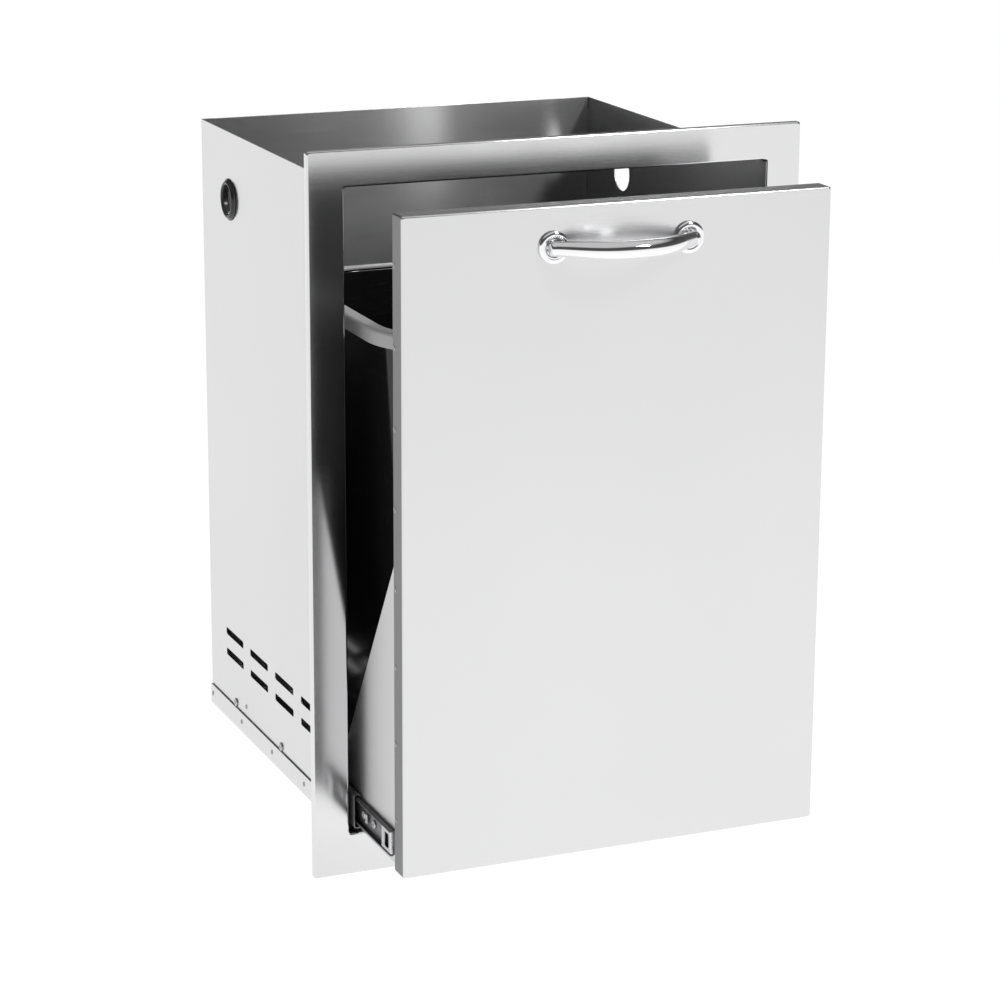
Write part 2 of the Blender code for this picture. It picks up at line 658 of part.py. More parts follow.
def drawer_tray(parent):
    """The floor under the bin, turned up at the front and the rear."""
    front = BRACKET_FRONT + SHEET + GAP
    back = DRAWER_BACK - SHEET - GAP
    lip_top = TRAY_BOTTOM + TRAY_LIP
    path = rounded_path(((front, lip_top), (front, TRAY_BOTTOM), (back, TRAY_BOTTOM), (back, lip_top)), BEND)
    half = BRACKET_INNER - GAP
    return add(folded_sheet("drawer_tray", path, 0, -half, half, SHEET, inside=False), "steel", parent)


def rear_cross_panel(parent):
    """The low panel that ties the two brackets together behind the bin."""
    half = BRACKET_INNER - GAP
    flange_end = DRAWER_BACK - DRAWER_FLANGE
    path = rounded_path(((-half, flange_end), (-half, DRAWER_BACK), (half, DRAWER_BACK), (half, flange_end)),
                        BEND)
    return add(folded_sheet("rear_cross_panel", path, 2, TRAY_BOTTOM + CROSS_PANEL_RISE, BRACKET_LOW, SHEET,
                            inside=True), "steel", parent)


def handle_bar(parent):
    """A bow that is thickest in the middle, with a round end and a foot over each screw."""
    curve = bpy.data.curves.new("handle_bar", "CURVE")
    curve.dimensions = "3D"
    curve.resolution_u = 9
    curve.bevel_depth = HANDLE_END_RADIUS
    curve.bevel_resolution = 2
    curve.use_fill_caps = True
    bow = curve.splines.new("BEZIER")
    bow.bezier_points.add(2)
    swell = HANDLE_MID_RADIUS / HANDLE_END_RADIUS
    away, out = HANDLE_RISE
    knots = ((-HANDLE_HALF_SPAN, -HANDLE_LIFT, (away, out), 1.0),
             (0, -HANDLE_REACH, (HANDLE_FLAT, 0), swell),
             (HANDLE_HALF_SPAN, -HANDLE_LIFT, (away, -out), 1.0))
    for point, (x, y, (ahead_x, ahead_y), radius) in zip(bow.bezier_points, knots):
        point.co = (x, y, 0)
        point.handle_left_type = "FREE"
        point.handle_right_type = "FREE"
        point.handle_left = (x - ahead_x, y - ahead_y, 0)
        point.handle_right = (x + ahead_x, y + ahead_y, 0)
        point.radius = radius
    drawn = bpy.data.objects.new("handle_bow", curve)
    drawn.location = (0, FRAME_FRONT, HANDLE_Z)
    tools.objects.link(drawn)
    drawn.parent = parent
    bpy.context.view_layer.update()
    evaluated = drawn.evaluated_get(bpy.context.evaluated_depsgraph_get())
    data = bpy.data.meshes.new_from_object(evaluated)
    solid = bmesh.new()
    solid.from_mesh(data)
    bmesh.ops.remove_doubles(solid, verts=solid.verts, dist=MERGE)
    solid.to_mesh(data)
    solid.free()
    bar = bpy.data.objects.new("handle_bar", data)
    bar.location = drawn.location
    bpy.data.objects.remove(drawn, do_unlink=True)
    for side, sign in SIDES:
        x = sign * HANDLE_HALF_SPAN
        ball = bmesh.new()
        bmesh.ops.create_uvsphere(ball, u_segments=16, v_segments=8, radius=HANDLE_END_RADIUS * 1.01)
        end = from_bmesh(f"bar_end_{side}", ball)
        end.location = (x, FRAME_FRONT - HANDLE_LIFT, HANDLE_Z)
        boolean(bar, as_tool(end, parent), "UNION")
        foot_middle = FRAME_FRONT - (HANDLE_LIFT + GAP) / 2
        foot = rod(f"bar_foot_{side}", (x, foot_middle, HANDLE_Z), (0, 1, 0), HANDLE_END_RADIUS * 0.75,
                   HANDLE_LIFT - GAP, 16)
        boolean(bar, as_tool(foot, parent), "UNION")
        socket = rod(f"bar_socket_{side}", (x, FRAME_FRONT, HANDLE_Z), (0, 1, 0), SCREW_HOLE,
                     2 * HANDLE_SOCKET)
        boolean(bar, as_tool(socket, parent), "DIFFERENCE")
    for polygon in bar.data.polygons:
        polygon.use_smooth = True
    return add(bar, "chrome", parent)


def handle_rosette(side, sign, parent):
    """The domed ring round the foot of the handle."""
    bore = HANDLE_END_RADIUS + ROSETTE_CLEARANCE
    profile = ((bore, GAP), (bore, ROSETTE_HEIGHT * 0.6), (bore + ROSETTE_INNER_EASE, ROSETTE_HEIGHT),
               (ROSETTE_RADIUS - ROSETTE_OUTER_EASE, ROSETTE_HEIGHT * 0.95),
               (ROSETTE_RADIUS, ROSETTE_HEIGHT * 0.45), (ROSETTE_RADIUS, GAP))
    ring = turned(f"handle_rosette_{side}", profile, (sign * HANDLE_HALF_SPAN, FRAME_FRONT, HANDLE_Z),
                  (0, -1, 0), steps=24)
    return add(ring, "chrome", parent)


def handle_screw(side, sign, parent):
    """The screw that holds the handle from inside the door."""
    seat = (sign * HANDLE_HALF_SPAN, FRAME_FRONT + SKIN + GAP, HANDLE_Z)
    return screw(f"handle_screw_{side}", seat, (0, 1, 0), HANDLE_SCREW_LENGTH, "zinc", parent)


# ---- bin ---------------------------------------------------------------------------------
def bin_rings(outline):
    """Rings in the tub's plan shape, from (inset, height) pairs."""
    rings = []
    for inset, height in outline:
        corner = BIN_CORNER - inset * BIN_CORNER_SHARE
        ring = rounded_rectangle(-BIN_HALF_WIDTH + inset, BIN_HALF_WIDTH - inset,
                                 -BIN_HALF_LENGTH + inset, BIN_HALF_LENGTH - inset, corner, steps=5)
        rings.append([(x, y, height) for x, y in ring])
    return rings


def waste_bin(parent):
    """A tapered plastic tub with a turned-down lip, open at the top."""
    floor = BIN_BOTTOM + BIN_WALL
    slope = BIN_TAPER / (BIN_TOP - floor)
    lip_inset = RING_WALL + RING_CLEARANCE
    lip_top = BIN_TOP - RING_WALL - GAP
    wall_start = lip_top - 2 * BIN_LIP
    outline = rounded_path(((lip_inset, lip_top - BIN_LIP), (lip_inset, lip_top), (BIN_RIM, lip_top),
                            (BIN_RIM + slope * (BIN_TOP - wall_start), wall_start)), BIN_RIM_RADIUS)
    for step in range(BIN_FOOT_STEPS + 1):
        turn = pi / 2 * step / BIN_FOOT_STEPS
        inset = BIN_RIM + BIN_TAPER + BIN_FOOT * (1 - cos(turn))
        outline.append((inset, floor + BIN_FOOT * (1 - sin(turn))))
    tub = ring_shell("waste_bin", bin_rings(outline), BIN_WALL, inside=True)
    tub.location = (0, BIN_MIDDLE_Y, 0)
    return add(tub, "bin_plastic", parent)


def bag_ring(parent):
    """The grey ring over the tub's mouth, which holds the edge of a bag."""
    outline = rounded_path(((0, BIN_TOP - RING_SKIRT), (0, BIN_TOP), (BIN_RIM + BIN_WALL, BIN_TOP)),
                           BIN_RIM_RADIUS)
    ring = ring_shell("bag_ring", bin_rings(outline), RING_WALL, inside=True, closed_end=False)
    ring.location = (0, BIN_MIDDLE_Y, 0)
    return add(ring, "rim_plastic", parent)


# ---- assembly ----------------------------------------------------------------------------
face_frame()
for wall_side, wall_sign in SIDES:
    side_wall(wall_side, wall_sign)
back_panel()
base_pan()
grommet()

drawer_body = body("drawer_body", SLIDE_OPEN)
for slide_side, slide_sign in SIDES:
    outer_rail(slide_side, slide_sign)
    rail_bumper(slide_side, slide_sign)
    rail_screws(slide_side, slide_sign)
    outer_cage_body = body(f"outer_cage_body_{slide_side}", SLIDE_OPEN * OUTER_CAGE_SHARE)
    middle_body = body(f"middle_body_{slide_side}", SLIDE_OPEN * MIDDLE_SHARE)
    inner_cage_body = body(f"inner_cage_body_{slide_side}", SLIDE_OPEN * INNER_CAGE_SHARE)
    ball_cage(f"outer_ball_cage_{slide_side}", slide_sign, CAGE_OUTER_WEB, CAGE_OUTER_LIP,
              (OUTER_HALF - SLIDE_SHEET + MIDDLE_HALF + CAGE_SHEET) / 2, outer_cage_body)
    middle_rail(slide_side, slide_sign, middle_body)
    ball_cage(f"inner_ball_cage_{slide_side}", slide_sign, CAGE_INNER_WEB, CAGE_INNER_LIP,
              (MIDDLE_HALF - SLIDE_SHEET + INNER_HALF + CAGE_SHEET) / 2, inner_cage_body)
    inner_rail(slide_side, slide_sign, drawer_body)
    slide_end_clip(slide_side, slide_sign, drawer_body)
    drawer_screws(slide_side, slide_sign, drawer_body)
    release_lever(slide_side, slide_sign, drawer_body)
    side_bracket(slide_side, slide_sign, drawer_body)
    handle_rosette(slide_side, slide_sign, drawer_body)
    handle_screw(slide_side, slide_sign, drawer_body)
door_front_panel(drawer_body)
door_back_panel(drawer_body)
drawer_tray(drawer_body)
rear_cross_panel(drawer_body)
handle_bar(drawer_body)
waste_bin(drawer_body)
bag_ring(drawer_body)
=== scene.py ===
"""The looks of the pull-out trash drawer: brushed steel, chrome, black slides and a black tub.

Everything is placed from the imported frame's node boxes, in metres, with the drawer as it
stands at rest. X runs across the drawer, -Y is the front and +Z is up.
"""
import json
from math import cos, pi, radians, sin

import bmesh
import bpy
from mathutils import Matrix, Vector


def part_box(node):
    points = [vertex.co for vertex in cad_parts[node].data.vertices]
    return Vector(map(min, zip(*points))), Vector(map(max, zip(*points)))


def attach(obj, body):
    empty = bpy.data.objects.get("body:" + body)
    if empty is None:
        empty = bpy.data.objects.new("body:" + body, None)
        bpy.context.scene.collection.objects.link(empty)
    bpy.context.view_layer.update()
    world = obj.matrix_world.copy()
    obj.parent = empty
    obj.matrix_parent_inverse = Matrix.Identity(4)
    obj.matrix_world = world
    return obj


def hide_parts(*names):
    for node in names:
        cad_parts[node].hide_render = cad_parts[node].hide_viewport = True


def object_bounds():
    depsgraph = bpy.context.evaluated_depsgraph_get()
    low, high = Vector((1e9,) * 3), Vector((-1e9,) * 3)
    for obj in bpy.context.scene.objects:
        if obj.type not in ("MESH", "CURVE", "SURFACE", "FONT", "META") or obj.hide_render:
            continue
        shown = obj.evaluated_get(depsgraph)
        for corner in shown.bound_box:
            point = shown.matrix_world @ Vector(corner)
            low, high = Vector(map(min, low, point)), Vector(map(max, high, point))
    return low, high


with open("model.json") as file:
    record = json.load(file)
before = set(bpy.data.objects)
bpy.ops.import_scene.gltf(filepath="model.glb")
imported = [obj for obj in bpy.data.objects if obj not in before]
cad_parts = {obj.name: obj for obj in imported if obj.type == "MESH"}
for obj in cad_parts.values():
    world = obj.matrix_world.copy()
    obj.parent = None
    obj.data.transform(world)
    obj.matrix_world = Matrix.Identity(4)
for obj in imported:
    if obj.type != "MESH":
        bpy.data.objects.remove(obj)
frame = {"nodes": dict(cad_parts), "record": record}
cad_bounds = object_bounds()

SIDES = (("left", -1), ("right", 1))

# ---- sizes that the node boxes don't give ----------------------------
SHEET = 0.0012                  # housing, drawer and slide sheet
SKIN = 0.0010                   # door skins
BEND = 0.0020
SEAM = 0.0003                   # gap between touching pieces
EDGE = 0.00022                  # softened sheet edges
NEAR_AXIS = 0.0001              # where a turned profile begins and ends, just off its axis
CUT = 0.003                     # how far a cutter reaches to either side of a web
SHORT_CUT = 0.001               # how far one stands out of a lever or a stop
ACROSS_HOUSING = 0.25           # half the length of a cutter that passes both side walls
CORNER_LOSS = 0.6               # how much smaller a corner's radius gets for each metre of inset

STILE = 0.0365
RAIL_TOP = 0.035
RAIL_BOTTOM = 0.042
FRAME_DEPTH = 0.008
FRAME_HEM = 0.008
FRAME_CORNER = 0.003

VENT_LENGTH = 0.057
VENT_HEIGHT = 0.0075
VENT_CORNER = 0.0018
VENT_PITCH = 0.0803
VENT_COLUMNS = 4
VENT_MIDDLE_Y = 0.0093
VENT_ROWS = (0.0757, 0.0987)
PORT_RADIUS = 0.019
GROMMET_BORE = 0.0150
GROMMET_PROUD = 0.0046
GROMMET_BEAD = 0.0022           # radius of the round bead at the bore
GROMMET_EASE = 0.0008
GROMMET_BACK = 0.0010           # how much smaller the lip is inside the housing
WALL_RETURN = 0.014
BASE_BEND = SHEET * 1.4
LIP_WELDS_Y = (-0.193, 0.206)   # the first and the last
WALL_WELD = (0.094, 0.0327)     # y and z of the one above the lip
FOLD_WELDS_Z = (0.05, 0.60)

DOOR_CORNER = 0.0025
DOOR_CORNER_LEAST = 0.0006
DOOR_BORDER = 0.012
LINER_FLANGE = 0.010
DOOR_WELDS_Z = (0.060, 0.5875)
DOOR_WELD_INSET = 0.0032        # from the rear edge of the skin's side

BRACKET_LOW = 0.0527            # height of the level part of its top edge
BRACKET_SLOPE = 0.1727          # depth of the part that slopes down to it
BRACKET_EDGE = 0.0003
FLANGE = 0.014
FLANGE_DROP = 0.004             # from the plate's tip down to the front flange
TRAY_WELD_INSET = 0.007         # from the tray's side
TRAY_WELD_MARGIN = 0.030        # from its front and rear
HAND_SLOT = 0.044
HAND_SLOT_Z = (0.010, 0.0175)
HAND_SLOT_CORNER = 0.0035
HAND_SLOTS_X = (-0.12, 0.0, 0.12)
HAND_SLOT_CUT = (-0.006, 0.004)  # the cutter's ends, from the panel's rear face

BIN_WALL = 0.0022
BIN_RIM = 0.0115
BIN_LIP = 0.010
BIN_CORNER = 0.085
BIN_TAPER = 0.024
BIN_FOOT = 0.018
BIN_FOLD = 0.003                # radius of the folds in the lip and the ring
BIN_EDGE = 0.0005
RING_SKIRT = 0.0145
RING_CLEARANCE = 0.0006

HANDLE_END = 0.0070
HANDLE_MIDDLE = 0.0088
HANDLE_LIFT = 0.0078
HANDLE_REACH = 0.036
BOW_START = (0.024, -0.015)     # the curve's pull at the bow's ends, across and outward
BOW_PEAK = 0.036                # and its level pull at the middle
BLUNT_END = 0.0068              # length of a blunt end
BLUNT_LEAN = 0.1                # how far it leans to the door, as a share of its length
POST_SHARE = 0.78               # of the bow's end radius
ROSETTE_BORE_GAP = 0.0012
ROSETTE_RIM = 0.35              # share of the rosette's height at its edges

SCREW_HEAD = 0.0045
SCREW_RISE = 0.0015
SCREW_EDGE = 0.00008
SHANK_RADIUS = 0.0020
SHANK_LENGTH = 0.0040
RECESS_ARM = 0.0026
RECESS_HALF = 0.00045           # half the width of an arm
RECESS_FLOOR = 0.0005
RECESS_TOP = 0.003              # of its cutter

# radius of the ball race, and where each slot starts and ends behind the member's front
OUTER_CHANNEL = (0.0036, ((0.045, 0.070), (0.100, 0.118), (0.215, 0.240), (0.262, 0.280)))
MIDDLE_CHANNEL = (0.0030, ((0.020, 0.050), (0.110, 0.150), (0.200, 0.240), (0.290, 0.320)))
INNER_CHANNEL = (0.0026, ((0.110, 0.150), (0.190, 0.230), (0.260, 0.285)))
SLOT_HALF = 0.0028              # half a slot's height
SLOT_CORNER = 0.0027

CAGE_SHEET = 0.0006
CAGE_BEND = 0.0012
CAGE_INSET = 0.0012             # the strip's flanges lie this far inside the node's box
CAGE_EDGE = 0.0001
WINDOW_LENGTH = 0.3             # half a window's length, as a share of the balls' pitch
WINDOW_HEIGHT = 0.55            # share of the strip's height
WINDOW_CORNER = 0.0015
WINDOW_CUT = 0.002
BALLS_IN_ROW = 8
BALL_RADIUS = 0.0015
BALL_OFFSET = 0.0005            # from the middle of the strip's depth towards X = 0

CLIP_BEND = SHEET * 1.5
CLIP_MARGIN = 0.0040            # round the clip's window, above and below
CLIP_MARGIN_FRONT = 0.0050
CLIP_MARGIN_REAR = 0.0090
CLIP_CORNER = 0.0020

TAB_SHEET = 0.0009
TAB_BEND = 0.0010
TAB_OUT = 0.0025
TAB_LENGTH = 0.006
TAB_HALF = 0.0045               # half its height
TAB_EDGE = 0.00012

GROOVES = 4
GROOVE_MARGIN = 0.006           # from the stop's ends to the outer grooves
GROOVE_DEPTH = 0.0012
GROOVE_HALF = 0.0008            # half a groove's width
STOP_EDGE = 0.0004

# share of the lever's length from its front, share of its half width
LEVER_OUTLINE = ((0.0, 0.55), (0.03, 0.95), (0.10, 1.0), (0.22, 1.0), (0.32, 0.55),
                 (0.75, 0.50), (0.86, 0.95), (0.95, 0.95), (1.0, 0.6))
LEVER_SHEET = 0.0012
LEVER_EDGE = 0.0001
DOTS = (0.09, 0.14, 0.19)       # shares of the lever's length
DOT_RADIUS = 0.0009
DOT_DEPTH = 0.0005
PIVOT_RADIUS = 0.0022
PIVOT_INSET = 0.003             # from the lever's rear end
PIVOT_SINK = 0.001              # from the plate's face to the pivot's end inside it

WELD_RADIUS = 0.0028            # the ring that a spot weld leaves
WELD_RISE = 0.0004
WELD_DIMPLE = 0.00003           # height of the ring's hollow middle
WELD_SINK = 0.0002              # how deep the mark's solid goes into its sheet

# ---- camera, light and floor values ----------------------------------
CAMERA_YAW = -22.75             # in degrees, as are the next two
CAMERA_PITCH = 15.70
CAMERA_ROLL = 0.31
CAMERA_PLACE = (-1.197, -2.9245, 1.1497)
CAMERA_SENSOR = 36.0            # millimetres, as is the lens
CAMERA_LENS = 114.1
CAMERA_RANGE = 50.0

KEY_PLACE = (0.865, -1.5, 1.9)
KEY_TARGET = (0, 0, 0.4)
KEY_SIZE = 0.22
KEY_POWER = 17

# (height of the direction, level), from the horizon to overhead
SKY_BANDS = ((0.0, 1.0), (0.03, 1.0), (0.16, 0.10), (0.62, 0.05), (0.80, 0.55), (1.0, 0.55))

FLOOR_HALF = 12.0
FLOOR_DROP = 0.0005             # from the object's underside
FLOOR_TINTS = ((0.30, 0.30, 0.30), (0.32, 0.32, 0.32))
FLOOR_GLOW = 0.91

# ---- places read off the frame ---------------------------------------
FRAME_LOW, FRAME_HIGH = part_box("face_frame")
WALL_LOW, WALL_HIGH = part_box("right_side_wall")
BASE_LOW, BASE_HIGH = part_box("base_pan")
DOOR_LOW, DOOR_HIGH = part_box("door_front_panel")
BIN_LOW, BIN_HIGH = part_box("waste_bin")
RING_LOW, RING_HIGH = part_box("bag_ring")
SLIDE_LOW, SLIDE_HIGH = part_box("outer_rail_right")
SLIDE_Z = (SLIDE_LOW.z + SLIDE_HIGH.z) / 2
PORT_Y = sum(corner.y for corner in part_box("left_grommet")) / 2
PORT_Z = sum(corner.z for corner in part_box("left_grommet")) / 2


# ---- node recipes ----------------------------------------------------
class Recipe:
    """A material's node tree, with short ways to add and link nodes."""

    def __init__(self, name):
        self.material = bpy.data.materials.new(name)
        self.material.use_nodes = True
        self.tree = self.material.node_tree
        self.shader = self.tree.nodes["Principled BSDF"]
        self.place = self.add("ShaderNodeTexCoord").outputs["Object"]

    def add(self, kind, **settings):
        node = self.tree.nodes.new(kind)
        for key, value in settings.items():
            setattr(node, key, value)
        return node

    def link(self, source, target):
        self.tree.links.new(source, target)

    def fix(self, **values):
        """Set sockets that are the same all over the surface."""
        for key, value in values.items():
            self.shader.inputs[key.replace("_", " ")].default_value = value

    def noise(self, scale, detail=2.0, rough=0.5, stretch=(1, 1, 1), offset=(0, 0, 0)):
        mapping = self.add("ShaderNodeMapping")
        mapping.inputs["Scale"].default_value = stretch
        mapping.inputs["Location"].default_value = offset
        self.link(self.place, mapping.inputs["Vector"])
        texture = self.add("ShaderNodeTexNoise")
        texture.inputs["Scale"].default_value = scale
        texture.inputs["Detail"].default_value = detail
        texture.inputs["Roughness"].default_value = rough
        self.link(mapping.outputs["Vector"], texture.inputs["Vector"])
        return texture.outputs["Fac"]

    def span(self, value, low, high, from_low=0.3, from_high=0.7):
        node = self.add("ShaderNodeMapRange")
        node.inputs["From Min"].default_value = from_low
        node.inputs["From Max"].default_value = from_high
        node.inputs["To Min"].default_value = low
        node.inputs["To Max"].default_value = high
        self.link(value, node.inputs["Value"])
        return node.outputs["Result"]

    def math(self, operation, first, second):
        node = self.add("ShaderNodeMath", operation=operation)
        for socket, value in zip(node.inputs, (first, second)):
            if isinstance(value, (int, float)):
                socket.default_value = value
            else:
                self.link(value, socket)
        return node.outputs["Value"]

    def mix(self, share, first, second):
        node = self.add("ShaderNodeMix", data_type="RGBA")
        for name, value in (("Factor", share), ("A", first), ("B", second)):
            socket = [s for s in node.inputs if s.name == name and s.enabled][0]
            if isinstance(value, (int, float)):
                socket.default_value = value
            elif isinstance(value, tuple):
                socket.default_value = (*value, 1.0)
            else:
                self.link(value, socket)
        return [s for s in node.outputs if s.enabled][0]

    def bump(self, height, strength, distance, below=None):
        node = self.add("ShaderNodeBump")
        node.inputs["Strength"].default_value = strength
        node.inputs["Distance"].default_value = distance
        self.link(height, node.inputs["Height"])
        if below is not None:
            self.link(below, node.inputs["Normal"])
        return node.outputs["Normal"]

    def edges(self, low, high):
        """How worn a place is: the mesh's sharp convex edges, from its pointiness."""
        return self.span(self.add("ShaderNodeNewGeometry").outputs["Pointiness"], 0.0, 1.0, low, high)


LEVEL = (14, 14, 2600)          # grain that runs level on upright faces, in noise cells a metre
UPRIGHT = (2600, 2600, 14)
ACROSS = {LEVEL: (0, 0.02, 1), UPRIGHT: (1, 1, 0.02)}   # across the grain, where gloss spreads
# painted shade: the dark tint that faces looking along X are mixed towards
PAINTED_SHADE_SIDE = (0.19, 0.19, 0.195)


def brushed_steel(name, tint, rough, spread, grain, depth, painted_side_shade=False):
    """Stainless sheet with a fine one-way grain, faint smears and slightly uneven gloss.

    The last argument darkens the faces that look along X towards a dark grey, a painted shade, and makes
    their gloss rougher.
    """
    recipe = Recipe(name)
    lines = recipe.noise(1.0, detail=3.0, rough=0.65, stretch=grain)
    fine = recipe.noise(2.3, detail=2.0, stretch=grain, offset=(3.1, 1.7, 0.4))
    smear = recipe.noise(4.0, detail=3.0, rough=0.55)
    tone = recipe.mix(recipe.span(lines, 0.0, 1.0), tuple(c * 0.975 for c in tint), tint)
    tone = recipe.mix(recipe.span(smear, 0.0, 0.5), tone, tuple(c * 0.98 for c in tint))
    gloss = recipe.math("ADD", recipe.span(lines, rough - 0.02, rough + 0.02),
                        recipe.span(smear, -0.02, 0.02))
    if painted_side_shade:
        split = recipe.add("ShaderNodeSeparateXYZ")
        recipe.link(recipe.add("ShaderNodeNewGeometry").outputs["Normal"], split.inputs["Vector"])
        facing = recipe.math("ABSOLUTE", split.outputs["X"], 0.0)
        side = recipe.span(facing, 0.0, 1.0, 0.80, 0.99)
        # painted shade: faces that look along X are darkened towards a dark grey
        tone = recipe.mix(side, tone, PAINTED_SHADE_SIDE)
        gloss = recipe.math("ADD", gloss, recipe.math("MULTIPLY", side, 0.12))
    recipe.link(tone, recipe.shader.inputs["Base Color"])
    recipe.link(gloss, recipe.shader.inputs["Roughness"])
    recipe.fix(Metallic=1.0, Anisotropic=spread)
    across = recipe.add("ShaderNodeCombineXYZ")
    for socket, share in zip(across.inputs, ACROSS[grain]):
        socket.default_value = share
    recipe.link(across.outputs["Vector"], recipe.shader.inputs["Tangent"])
    recipe.link(recipe.bump(fine, depth, 0.00002, recipe.bump(lines, depth, 0.00003)),
                recipe.shader.inputs["Normal"])
    return recipe.material


def polished(name, tint, rough):
    """Chrome: nearly a mirror, with faint haze and hairline scratches."""
    recipe = Recipe(name)
    haze = recipe.noise(35.0, detail=3.0)
    hairs = recipe.noise(1.0, detail=2.0, stretch=(60, 1800, 1800))
    recipe.link(recipe.mix(recipe.span(haze, 0.0, 1.0), tuple(c * 0.97 for c in tint), tint),
                recipe.shader.inputs["Base Color"])
    recipe.link(recipe.math("ADD", recipe.span(haze, rough - 0.015, rough + 0.02),
                            recipe.span(hairs, 0.0, 0.025)), recipe.shader.inputs["Roughness"])
    recipe.link(recipe.bump(hairs, 0.15, 0.00001), recipe.shader.inputs["Normal"])
    recipe.fix(Metallic=1.0)
    return recipe.material


def plated(name, tint, worn, rough, metallic):
    """Plated or heat-marked steel: a fine crystalline film, rubbed through along the edges."""
    recipe = Recipe(name)
    film = recipe.noise(700.0, detail=3.0)
    streak = recipe.noise(1.0, detail=2.0, stretch=(900, 14, 900))
    rub = recipe.math("MULTIPLY", recipe.edges(0.51, 0.56), recipe.span(streak, 0.35, 1.0))
    tone = recipe.mix(recipe.span(film, 0.0, 1.0), tuple(c * 0.8 for c in tint), tint)
    tone = recipe.mix(rub, tone, worn)
    recipe.link(tone, recipe.shader.inputs["Base Color"])
    recipe.link(recipe.math("ADD", recipe.span(streak, rough - 0.06, rough + 0.06),
                            recipe.span(film, -0.03, 0.03)), recipe.shader.inputs["Roughness"])
    recipe.link(recipe.bump(film, 0.2, 0.00003), recipe.shader.inputs["Normal"])
    recipe.fix(Metallic=metallic)
    return recipe.material


def moulded(name, tint, rough, pebble, scuff):
    """Moulded plastic or rubber: a fine pebble, soft waviness and a few dusty scuffs."""
    recipe = Recipe(name)
    grain = recipe.noise(pebble, detail=2.0)
    wave = recipe.noise(9.0, detail=2.0)
    marks = recipe.noise(1.0, detail=4.0, rough=0.7, stretch=(28, 28, 190))
    dust = recipe.span(marks, 0.0, scuff, 0.55, 0.80)
    tone = recipe.mix(recipe.span(grain, 0.0, 1.0), tuple(c * 0.88 for c in tint), tint)
    tone = recipe.mix(dust, tone, tuple(c + 0.10 for c in tint))
    recipe.link(tone, recipe.shader.inputs["Base Color"])
    recipe.link(recipe.math("ADD", recipe.span(wave, rough - 0.03, rough + 0.03),
                            recipe.math("MULTIPLY", dust, 0.25)), recipe.shader.inputs["Roughness"])
    recipe.link(recipe.bump(grain, 0.12, 0.00004, recipe.bump(wave, 0.25, 0.0004)),
                recipe.shader.inputs["Normal"])
    return recipe.material


# a material for each slot of the record, and two more looks: the liner, which is the door steel darkened
# as painted shade, and the weld marks
MATERIALS = {
    # name, tint, roughness, anisotropy, grain, bump strength, painted shade on the faces along X or not
    "housing_steel": brushed_steel("housing_steel", (0.72, 0.72, 0.725), 0.23, 0.85, LEVEL, 0.03),
    "frame_steel": brushed_steel("frame_steel", (0.78, 0.78, 0.785), 0.17, 0.80, LEVEL, 0.04),
    # the door's faces along X get a painted shade
    "door_steel": brushed_steel("door_steel", (0.75, 0.75, 0.755), 0.22, 0.70, LEVEL, 0.03, True),
    "drawer_steel": brushed_steel("drawer_steel", (0.72, 0.72, 0.725), 0.42, 0.30, UPRIGHT, 0.10),
    # painted shade: the door steel darkened for the door's liner, which sits in shade behind the door
    "painted_shade_liner": brushed_steel("painted_shade_liner", (0.30, 0.30, 0.305), 0.20, 0.70, LEVEL, 0.04),
    # name, tint, worn tint, roughness, metallic
    "weld": plated("weld", (0.34, 0.34, 0.35), (0.50, 0.50, 0.51), 0.38, 1.0),
    "slide_steel": plated("slide_steel", (0.030, 0.030, 0.033), (0.45, 0.45, 0.46), 0.34, 0.7),
    "zinc": plated("zinc", (0.52, 0.52, 0.53), (0.80, 0.80, 0.81), 0.30, 1.0),
    "handle_chrome": polished("handle_chrome", (0.93, 0.93, 0.94), rough=0.05),
    # name, tint, roughness, pebbles a metre, strength of the scuffs
    "bin_plastic": moulded("bin_plastic", (0.012, 0.012, 0.013), 0.13, 1500.0, 0.16),
    "rim_plastic": moulded("rim_plastic", (0.55, 0.55, 0.555), 0.36, 1500.0, 0.30),
    "rubber": moulded("rubber", (0.022, 0.022, 0.023), 0.28, 900.0, 0.16),
    "nylon": moulded("nylon", (0.26, 0.27, 0.28), 0.48, 900.0, 0.20),
}


# ---- shape makers ----------------------------------------------------
def from_bmesh(name, mesh):
    """A new object in the scene that holds a bmesh."""
    data = bpy.data.meshes.new(name)
    mesh.to_mesh(data)
    mesh.free()
    obj = bpy.data.objects.new(name, data)
    bpy.context.scene.collection.objects.link(obj)
    return obj


def rounded_path(points, radius, steps=6):
    """The path with each inner corner rounded by a quarter turn."""
    path = [Vector(points[0])]
    for before, corner, after in zip(points, points[1:], points[2:]):
        corner = Vector(corner)
        back = (Vector(before) - corner).normalized()
        ahead = (Vector(after) - corner).normalized()
        for step in range(steps + 1):
            turn = pi / 2 * step / steps
            path.append(corner + back * radius * (1 - sin(turn)) + ahead * radius * (1 - cos(turn)))
    path.append(Vector(points[-1]))
    return path


def rounded_rectangle(low_u, high_u, low_v, high_v, radius, steps=6):
    """Corner points of a rectangle with round corners, anticlockwise."""
    outline = []
    corners = ((high_u - radius, high_v - radius, 0), (low_u + radius, high_v - radius, 90),
               (low_u + radius, low_v + radius, 180), (high_u - radius, low_v + radius, 270))
    for u, v, start in corners:
        for step in range(steps + 1):
            angle = radians(start + 90 * step / steps)
            outline.append((u + radius * cos(angle), v + radius * sin(angle)))
    return outline


